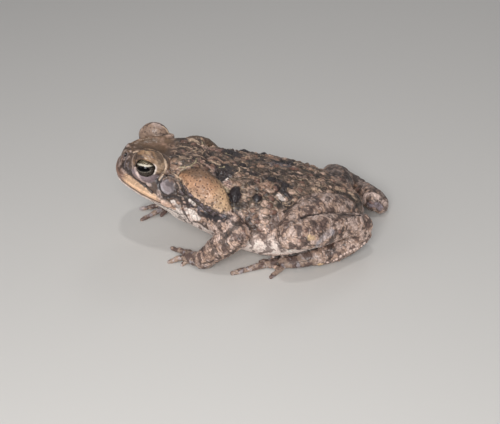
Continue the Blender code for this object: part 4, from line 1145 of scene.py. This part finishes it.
def paint_gland(skin, area, tints):
    """Both glands: browner above and paler below, partly their own colour and partly painted shade
    above and painted light below, with dark pores, and a dark rim behind.
    """
    x, y, z = skin.points.T
    across = np.abs(x)
    facing = skin.normals[:, 2]
    cloud = layered(skin.points, 3.6, 3, 95)
    outward = skin.normals[:, 0] * np.sign(x)
    upper = np.maximum(step(facing + 0.12 * cloud, 0.66, 0.92), fall(outward, 0.12, 0.42))
    rear = step(y - 0.4 * z + 1.5 * cloud, 30.0, 38.0) * step(facing, -0.2, 0.4)
    # The browner top is partly painted shade and the paler underside partly painted light
    gland = cover(
        "gland",
        ("gland_low", step(-facing, -0.62, -0.05)),
        ("gland_top", upper),
        ("olive", 0.8 * (x < 0) * step(facing, -0.1, 0.4)),
        ("cream", 0.6 * rear),
    )
    gland = cover(gland * (1 + 0.32 * cloud)[:, None], ("pore", 0.85 * skin.pores))
    side = (1 - area.limb) * step(facing, -0.1, 0.2)
    places, tops, lows = np.array(BAND_LINE).T
    above = z - np.interp(y, places, tops)
    below = z - np.interp(y, places, lows)
    band = fall(above - 1.1 * skin.wobble, -0.9, 0.9)
    band *= step(below - (1.4 * cloud + skin.wobble), -0.5, 0.5) * step(y, 31, 33)
    band *= fall(y, 58, 60) * step(across, 19, 21)
    specks = step(layered(skin.points, 1.9, 2, 96), -0.1, 0.25) * fall(above, 0.5, 5.5)
    specks *= step(above, -1.0, 0.5) * step(y, 31, 33) * fall(y, 55, 58)
    specks *= step(across, 19, 21) * (1 - area.limb)
    grain = cover("black", ("steel", 0.65 * step(skin.wobble, 0.0, 0.5)))
    return cover(
        tints,
        (gland, area.gland),
        ("ring", 0.8 * bump(area.gland_edge, 1.2, 0.06) * side),
        ("umber", 0.85 * bump(area.gland_edge, 1.08, 0.05) * side),
        ("umber", 0.7 * specks),
        (grain, 0.95 * band),
    )


def mark_lines(skin):
    """Every mark as its tint, strength, height and each vertex' distance from it in half-widths."""
    unevenness = 0.28 * skin.wobble + 0.2 * skin.bend[:, 1]
    for marks, sides in ((HEAD_MARKS, (1, -1)), (BODY_MARKS, (1, -1)), (LIMB_MARKS, (1,))):
        for (tint, *numbers), places in marks:
            width, strength, height = map(float, numbers)
            for side in sides:
                if marks is HEAD_MARKS:
                    line = [head_point(side_of(place, side)) for place in places]
                elif side > 0 or places[0][0] >= MARK_MIDDLE:
                    line = [body_place(place, side) for place in places]
                else:
                    continue
                line = [tuple(skin.on_surface(place)) + (width, width) for place in line]
                depth = along(skin.points, line, MARK_FACING)
                rough = WIDE_ROUGHNESS if width > WIDE_MARK and tint != "black" else 1.0
                yield tint, strength, height, depth + rough * unevenness


def paint(skin, area, marks, relief):
    """The colour of every vertex: regions, named marks, warts, then painted shade in the grooves
    and painted light on the tops.
    """
    tints = paint_gland(skin, area, paint_head(skin, area, paint_body(skin, area)))
    patchy = 0.4 + 0.6 * step(skin.wobble, -0.35, 0.15)
    for tint, strength, _, depth in skin.marks:
        share = patchy if tint in PATCHY_TINTS else 1.0
        tints = cover(tints, (tint, strength * share * fall(depth, *MARK_EDGE)))
    patches = [fall(depth, *MARK_EDGE) for tint, _, _, depth in skin.marks if tint == "black"]
    bare = 1 - 0.85 * np.max(patches, axis=0)
    for index, rho, tint, strength, ring in marks:
        bent = rho * (1 + 0.16 * skin.wobble[index])
        broken = step(skin.bend[index, 1], -0.5, 0.1)
        core = strength * bare[index] * fall(bent, 0.9, 1.05)
        rim = bump(bent, 1.22, 0.11) * ring * broken * bare[index]
        tints[index] = cover(tints[index], (tint, core), ("sand", rim))
    nostril = skin.near_head(NOSTRIL_CENTRE, NOSTRIL_SIZE)
    pale_line = bump(skin.mouth, 2.2, 0.5) * (skin.head[:, 2] < 0)
    tints = cover(
        tints,
        ("slate", 0.6 * bump(nostril, 1.5, 0.25)),
        # Painted shade in the nostril pits and along the groove of the mouth
        ("black", fall(nostril, 0.8, 1.15)),
        ("black", 0.85 * fall(skin.mouth, 0.6, 1.3)),
        ("blush", 0.7 * pale_line * area.head),
        # Painted shade in the creases between limbs and body
        ("umber", 0.85 * step(skin.crease, 0.2, 0.7)),
    )
    # Painted shade in the small hollows and painted light on the raised tops between them, then the
    # light's warm cast painted into all
    shade = np.exp(np.clip(relief * RELIEF_SHADE, *RELIEF_LIMITS))
    return np.clip(tints * WARM_LIGHT_TONE * shade[:, None], 0, 1)


def wart_shape(rho, height):
    """Height over a wart at this share of its radius: a dome, a ring-shaped groove and a tip."""
    dome = height * np.clip(1 - rho**2, 0, 1) ** 0.8
    groove = -0.25 * height * bump(rho, 1.12, 0.16)
    return dome + groove + 0.12 * height * bump(rho, 0.0, 0.28)


def press_wart(skin, place, lie, sizes):
    """Adds one wart's height, and gives back its vertices and their share of its radius."""
    length, width, height = sizes
    _, nearest, _ = skin.tree.find(place)
    centre = skin.points[nearest]
    normal = skin.normals[nearest]
    found = skin.tree.find_range(centre, WART_REACH * length)
    index = np.array([item[1] for item in found])
    across = np.cross(normal, lie)
    across /= np.linalg.norm(across)
    forward = np.cross(across, normal)
    offset = skin.points[index] - centre
    rho = np.hypot(offset @ forward / length, offset @ across / width)
    skin.height[index] += wart_shape(rho * (1 + 0.14 * skin.wobble[index]), height)
    return index, rho


def scatter(skin, chance, radii, spacing, tries, seed):
    """Vertices spread evenly where the chance is high, each with its own radius."""
    draw = np.random.default_rng(seed)
    places = np.zeros((0, 3))
    kept = []
    sizes = np.zeros(0)
    for index in draw.integers(0, len(skin.points), tries):
        radius = draw.uniform(*radii)
        if draw.random() > chance[index]:
            continue
        place = skin.points[index]
        far = np.linalg.norm(places - place, axis=1)
        if (far < spacing * (sizes + radius)).any():
            continue
        places = np.vstack([places, place])
        sizes = np.append(sizes, radius)
        kept.append((index, radius))
    return kept


def grow_warts(skin, area):
    """The named warts and many small ones, as heights and as marks for the paint."""
    marks = []
    draw = np.random.default_rng(11)
    named_warts = []
    for *place, length, width, height, dark in LARGE_WARTS:
        for side in (1, -1):
            if side > 0 or (dark >= DARK_WART and place[0] >= WART_MIDDLE):
                look = ("maroon" if dark > DARK_WART else "rust", max(dark, DARK_WART), 0.95)
                lie = side_of(LARGE_WART_LIE, side)
                named_warts.append((body_place(place, side), lie, (length, width, height), look))
    for place in RING_WARTS:
        for side in (1, -1):
            look = ("umber", 0.7, 1.0)
            named_warts.append((body_place(place, side), RING_WART_LIE, RING_WART_SIZE, look))
    taken = np.zeros(len(skin.points))
    for place, lie, sizes, look in named_warts:
        index, rho = press_wart(skin, place, lie, sizes)
        taken[index[rho < WART_CLEARANCE]] = 1
        marks.append((index, rho, *look))
    for line in FOOT_EDGES:
        rows = smooth_rows(line, 12)
        length = np.append(0, np.cumsum(np.linalg.norm(np.diff(rows, axis=0), axis=1)))
        for place in np.arange(0.5, length[-1], EDGE_SPACING):
            place += draw.uniform(-0.6, 0.6)
            size = draw.uniform(0.6, 1.1)
            where = [np.interp(place, length, rows[:, axis]) for axis in range(3)]
            sizes = (1.2 * size, size, 0.5 * size)
            index, rho = press_wart(skin, where, draw.normal(size=3), sizes)
            marks.append((index, rho, "blush", 0.85, 0.0))
    smooth = np.clip(area.crown + area.lid + area.under_lid + area.gland, 0, 1)
    face = area.head * fall(skin.head[:, 1], 22, 27)
    rough = (1 - smooth) * (1 - area.belly) * (1 - face) * (1 - area.throat) * (1 - taken)
    rough *= fall(1.8 - area.drum_distance, 0, 0.4)
    body = rough * (1 - area.limb)
    limbs = rough * area.limb * (1 - area.paw)
    for chance, (radii, tall, tries, seed) in zip((body * area.back, body, limbs), SMALL_WARTS):
        for nearest, radius in scatter(skin, chance, radii, SMALL_WART_SPACING, tries, seed):
            stretch = draw.uniform(1.1, 1.9)
            lie = np.array((0.0, 1.0, -0.2)) + 0.5 * draw.normal(size=3)
            sizes = (radius * stretch, radius, radius * tall)
            index, rho = press_wart(skin, skin.points[nearest], lie, sizes)
            tint = SMALL_WART_TINTS[draw.integers(0, 5)]
            ring = draw.uniform(-0.4, 1.0) * area.back[nearest]
            marks.append((index, rho, tint, draw.uniform(0.2, 0.75), max(ring, 0.0)))
    return marks


def add_texture(skin, area):
    """Creases, granules, wrinkles, pores and named ridges, as heights."""
    points = skin.points
    body = 1 - area.head
    smooth = np.clip(area.crown + area.gland + area.drum + area.under_lid, 0, 1)
    rough = 1 - np.clip(smooth + 0.8 * area.lid, 0, 1)
    face = area.head * fall(skin.head[:, 1], 20, 27) * step(skin.head[:, 2], -2.0, -0.5)
    skin.crease = skin.hollow(points, CREASE_ROUNDS) * (1 - face)
    skin.height -= 1.1 * step(skin.crease, 0.12, 0.8)
    skin.back_cobbles = cobbles(skin, 3.3, (1.3, 0.75, 1.1), 200)
    skin.side_cobbles = cobbles(skin, 1.5, (1.0, 1.0, 1.0), 201)
    folds = layered((points + 1.4 * skin.bend) * (1.2, 0.6, 1.1), 7.0, 1, 205)
    some = step(layered(points, 9.0, 2, 207), -0.05, 0.25) * (1 - area.gland)
    skin.fold_pale = bump(folds, 0.12, 0.04) * some
    # The dark side of each fold is a groove that is painted as the fold's shadow
    skin.fold_dark = bump(folds, 0.0, 0.06) * some
    skin.height += (0.3 * skin.fold_pale - 0.45 * skin.fold_dark) * area.back * rough
    for (inside, pick), mask, tall in (
        (skin.back_cobbles, area.back, 0.4),
        (skin.side_cobbles, 1 - area.back, 0.17),
    ):
        dome = np.sqrt(np.clip(inside / 1.2, 0, 1)) * (0.5 + 0.5 * pick)
        skin.height += tall * dome * mask * rough * (1 - 0.7 * area.belly) * (1 - 0.7 * face)
    skin.height += 0.35 * layered(points, 9.0, 2, 210) * body * (1 - area.limb)
    skin.height += 0.06 * skin.wobble * rough
    folds = np.abs(layered(points * (0.8, 0.9, 0.7), 5.0, 2, 220))
    skin.height -= (0.3 - 0.17 * area.belly) * fall(folds, 0.0, 0.14) * body * (1 - area.gland)
    for name in ("forearm_left", "forearm_right"):
        way = np.array(LIMBS[name][-1][:3]) - np.array(LIMBS[name][0][:3])
        way /= np.linalg.norm(way)
        stretched = points * 0.42 + np.outer(points @ way, way) * 0.9
        skin.height += 0.3 * layered(stretched, 1.5, 2, 225) * skin.on(name) * (1 - area.paw)
    first, _, pick = cells(points, PORE_SPACING, 230)
    front = 0.22 * fall(skin.normals[:, 2], -0.1, 0.5) * fall(points[:, 1], 44, 54)
    skin.pores = fall(first * PORE_SPACING, 0.26 + front, 0.42 + 0.26 * pick + front)
    skin.pores *= step(pick, 0.05, 0.2)
    skin.height -= 0.3 * area.gland * skin.pores
    skin.height += 0.16 * layered(points, 3.0, 2, 235) * area.gland
    skin.height -= 0.5 * bump(area.gland_edge, 1.08, 0.05) * (1 - area.limb)
    across, s, up = (skin.head + 0.25 * skin.bend).T
    lid_places = np.column_stack([0.3 * np.abs(across), 0.3 * s, up + 0.3 * s])
    skin.lid_wrinkles = layered(lid_places, 1.1, 2, 240)
    skin.height += 0.2 * skin.lid_wrinkles * area.lid * (1 - 0.7 * area.inner_lid)
    skin.height += 0.1 * layered(points, 2.4, 2, 245) * area.crown
    middle = bump(skin.head[:, 0], 0.0, 5.5) * step(s, 5, 9) * fall(s, 17, 21)
    skin.height -= 0.8 * middle * area.crown
    broken = 0.1 + 0.3 * step(skin.bend[:, 1], -0.3, 0.4)
    skin.height -= broken * bump(area.drum_distance, 1.08, 0.1)
    skin.height -= 0.35 * fall(area.drum_distance, 0.0, 0.9)
    line = [tuple(place) + (0.5, 0.5) for place in mouth_line()]
    skin.mouth = along(skin.head, line, reach=8.0)
    skin.height -= 0.6 * fall(skin.mouth, 0.4, 1.6)
    skin.marks = list(mark_lines(skin))
    for _, _, height, depth in skin.marks:
        if height:
            skin.height += height * fall(depth, 0.2, 1.2)
    pit = skin.near_head(NOSTRIL_CENTRE, NOSTRIL_SIZE)
    skin.height -= 1.1 * fall(pit, 0.4, 1.1)
    skin.height += 0.3 * bump(pit, 1.45, 0.3)


def keep_off_floor(points):
    return np.column_stack([points[:, :2], np.maximum(points[:, 2], 0.0)])


def store_colours(mesh, tints):
    layer = mesh.color_attributes.new("tint", "FLOAT_COLOR", "POINT")
    rgba = np.column_stack([tints, np.ones(len(tints))])
    layer.data.foreach_set("color", rgba.ravel())


def set_inputs(tree, node, inputs):
    """Sets a shader node's inputs to plain values, or links them from other nodes' outputs."""
    for name, value in inputs.items():
        if isinstance(value, bpy.types.NodeSocket):
            tree.links.new(value, node.inputs[name])
        else:
            node.inputs[name].default_value = value


def add_node(tree, kind, inputs, **settings):
    made = tree.nodes.new("ShaderNode" + kind)
    for name, value in settings.items():
        setattr(made, name, value)
    set_inputs(tree, made, inputs)
    return made


def stored_tint(tree):
    return add_node(tree, "Attribute", {}, attribute_name="tint").outputs["Color"]


def new_material(name):
    """A plain glossy material, its node tree and its shader."""
    material = bpy.data.materials.new(name)
    material.use_nodes = True
    return material, material.node_tree, material.node_tree.nodes["Principled BSDF"]


def skin_material():
    material, tree, shader = new_material("moist_skin")
    place = add_node(tree, "TexCoord", {}).outputs["Object"]
    fine, broad = [
        add_node(tree, "TexNoise", {"Vector": place, "Scale": scale, "Detail": 3.0}).outputs["Fac"]
        for scale in (1100.0, 420.0)
    ]
    shade = add_node(tree, "MapRange", {"Value": fine, "To Min": 0.66, "To Max": 1.34})
    gloss = add_node(tree, "MapRange", {"Value": broad, "To Min": 0.3, "To Max": 0.66})
    mix = {0: stored_tint(tree), "Scale": shade.outputs["Result"]}
    mixed = add_node(tree, "VectorMath", mix, operation="SCALE")
    grain = add_node(tree, "TexVoronoi", {"Vector": place, "Scale": 1500.0})
    relief = {"Height": grain.outputs["Distance"], "Strength": 0.4, "Distance": 0.0002}
    bumps = add_node(tree, "Bump", relief, invert=True)
    set_inputs(tree, shader, {
        "Base Color": mixed.outputs["Vector"],
        "Roughness": gloss.outputs["Result"],
        "Normal": bumps.outputs["Normal"],
        "Coat Weight": 0.15,
        "Coat Roughness": 0.1,
    })
    return material


def eye_paint(local):
    """The iris by direction from the eye's centre: gaze along x, backwards y, up z."""
    out, back, up = local.T
    fleck = gradient_noise(local, 0.07, 5)
    iris = fall(np.hypot(back, up), 0.86, 0.93) * step(out, 0, 0.1)
    across, rise = back - PUPIL_CENTRE[0], up - PUPIL_CENTRE[1]
    along_pupil = across * math.cos(PUPIL_TURN) + rise * math.sin(PUPIL_TURN)
    over_pupil = rise * math.cos(PUPIL_TURN) - across * math.sin(PUPIL_TURN)
    pupil = np.hypot(along_pupil / PUPIL_SIZE[0], over_pupil / PUPIL_SIZE[1])
    low = up - np.interp(back, *IRIS_BAND_LOW)
    high = up - (np.interp(back, *IRIS_BAND_HIGH) + 0.06 * fleck)
    arc = fall(np.abs(pupil - 1.14), 0.03, 0.1) * fall(over_pupil, -0.08, 0.0) * iris
    return cover(
        "eyeball",
        (cover("iris", ("iris_fleck", step(fleck, -0.1, 0.6))), iris),
        # The pale flecks over the upper iris and the pale band are partly the iris' own colours and
        # partly painted glints and a painted reflection
        (cover("iris_top", ("iris_gold", step(fleck, 0.0, 0.4))), iris * step(high, -0.03, 0.03)),
        ("iris_band", step(low, -0.03, 0.03) * fall(high, -0.03, 0.04) * iris),
        ("iris_arc", 0.75 * arc),
        ("pupil", fall(pupil, 0.94, 1.02)),
    )


def make_eye(word, side):
    shape = bmesh.new()
    add_ball(shape, (0, 0, 0), (1, 1, 1), sides=EYEBALL_SIDES)
    made = new_object("eyeball_" + word, shape)
    local = read_points(made.data)
    seen = local @ eye_axes(side).T
    store_colours(made.data, eye_paint(seen))
    bulge = CORNEA_BULGE * step(seen[:, 0], 0.55, 0.9)
    centre = np.array(head_point(side_of(EYE_CENTRE, side)))
    placed = local * (EYE_RADIUS - EYEBALL_CLEARANCE) * (1 + bulge[:, None])
    write_points(made.data, placed @ np.array(head_axes()).T + centre)
    material, tree, shader = new_material("eye_" + word)
    look = {"Base Color": stored_tint(tree), "Roughness": 0.06, "Specular IOR Level": 0.15}
    set_inputs(tree, shader, look)
    made.data.materials.append(material)
    made.data.shade_smooth()
    return made


def shift_to_frame(made, shift):
    made.data.transform(Matrix.Translation(shift))


def plain_floor():
    shape = bmesh.new()
    bmesh.ops.create_grid(shape, x_segments=1, y_segments=1, size=FLOOR_SIZE)
    made = new_object("floor", shape)
    material, tree, shader = new_material("floor")
    set_inputs(tree, shader, {"Base Color": FLOOR_TINT, "Roughness": 0.85})
    made.data.materials.append(material)


def way_to(azimuth, elevation):
    """The direction to this azimuth, counted from the front, and this elevation."""
    turn, tilt = math.radians(azimuth), math.radians(elevation)
    level = math.cos(tilt)
    return Vector((math.sin(turn) * level, -math.cos(turn) * level, math.sin(tilt)))


def set_light(target):
    world = bpy.data.worlds.new("studio")
    world.use_nodes = True
    background = world.node_tree.nodes["Background"]
    background.inputs["Color"].default_value = SKY
    background.inputs["Strength"].default_value = SKY_STRENGTH
    bpy.context.scene.world = world
    for name, (azimuth, elevation, distance, size, power) in LIGHTS.items():
        light = bpy.data.lights.new(name, "AREA")
        light.shape = "DISK"
        light.size = size
        light.energy = power
        made = add_object(name, light)
        way = way_to(azimuth, elevation)
        made.location = target + way * distance
        made.rotation_euler = way.to_track_quat("Z", "Y").to_euler()
    bpy.context.scene.view_settings.view_transform = "Standard"


def set_camera(target):
    back = way_to(VIEW_AZIMUTH, VIEW_ELEVATION)
    right = (-back).cross(Vector(UP)).normalized()
    up = right.cross(-back)
    roll = math.radians(VIEW_ROLL)
    turned = right * math.cos(roll) + up * math.sin(roll)
    up = up * math.cos(roll) - right * math.sin(roll)
    place = target + back * VIEW_DISTANCE * MM
    camera = add_object("camera", bpy.data.cameras.new("camera"))
    axes = Matrix((turned, up, back)).transposed().to_4x4()
    camera.matrix_world = Matrix.Translation(place) @ axes
    camera.data.lens = LENS
    camera.data.sensor_width = SENSOR
    bpy.context.scene.camera = camera


def main():
    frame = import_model()
    low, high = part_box("eye_left")
    shift = (low + high) / 2 - head_point(EYE_CENTRE) * MM
    skin = Skin(bare_skin())
    area = regions(skin)
    add_texture(skin, area)
    marks = grow_warts(skin, area)
    placed = keep_off_floor(skin.points + skin.normals * skin.height[:, None])
    relief = -skin.hollow(placed, RELIEF_ROUNDS)
    tints = paint(skin, area, marks, relief)
    write_points(skin.mesh, placed)
    store_colours(skin.mesh, tints)
    skin.mesh.materials.clear()
    skin.mesh.materials.append(skin_material())
    skin.mesh.shade_smooth()
    shift_to_frame(skin.made, shift)
    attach(skin.made, "root")
    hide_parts(*[name for name in frame["nodes"] if not name.startswith("eye")])
    for side, word in ((1, "left"), (-1, "right")):
        eye = make_eye(word, side)
        shift_to_frame(eye, shift)
        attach(eye, "root")
        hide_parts("eye_" + word)
    plain_floor()
    target = Vector(VIEW_TARGET) * MM + shift
    set_light(target)
    set_camera(target)


main()
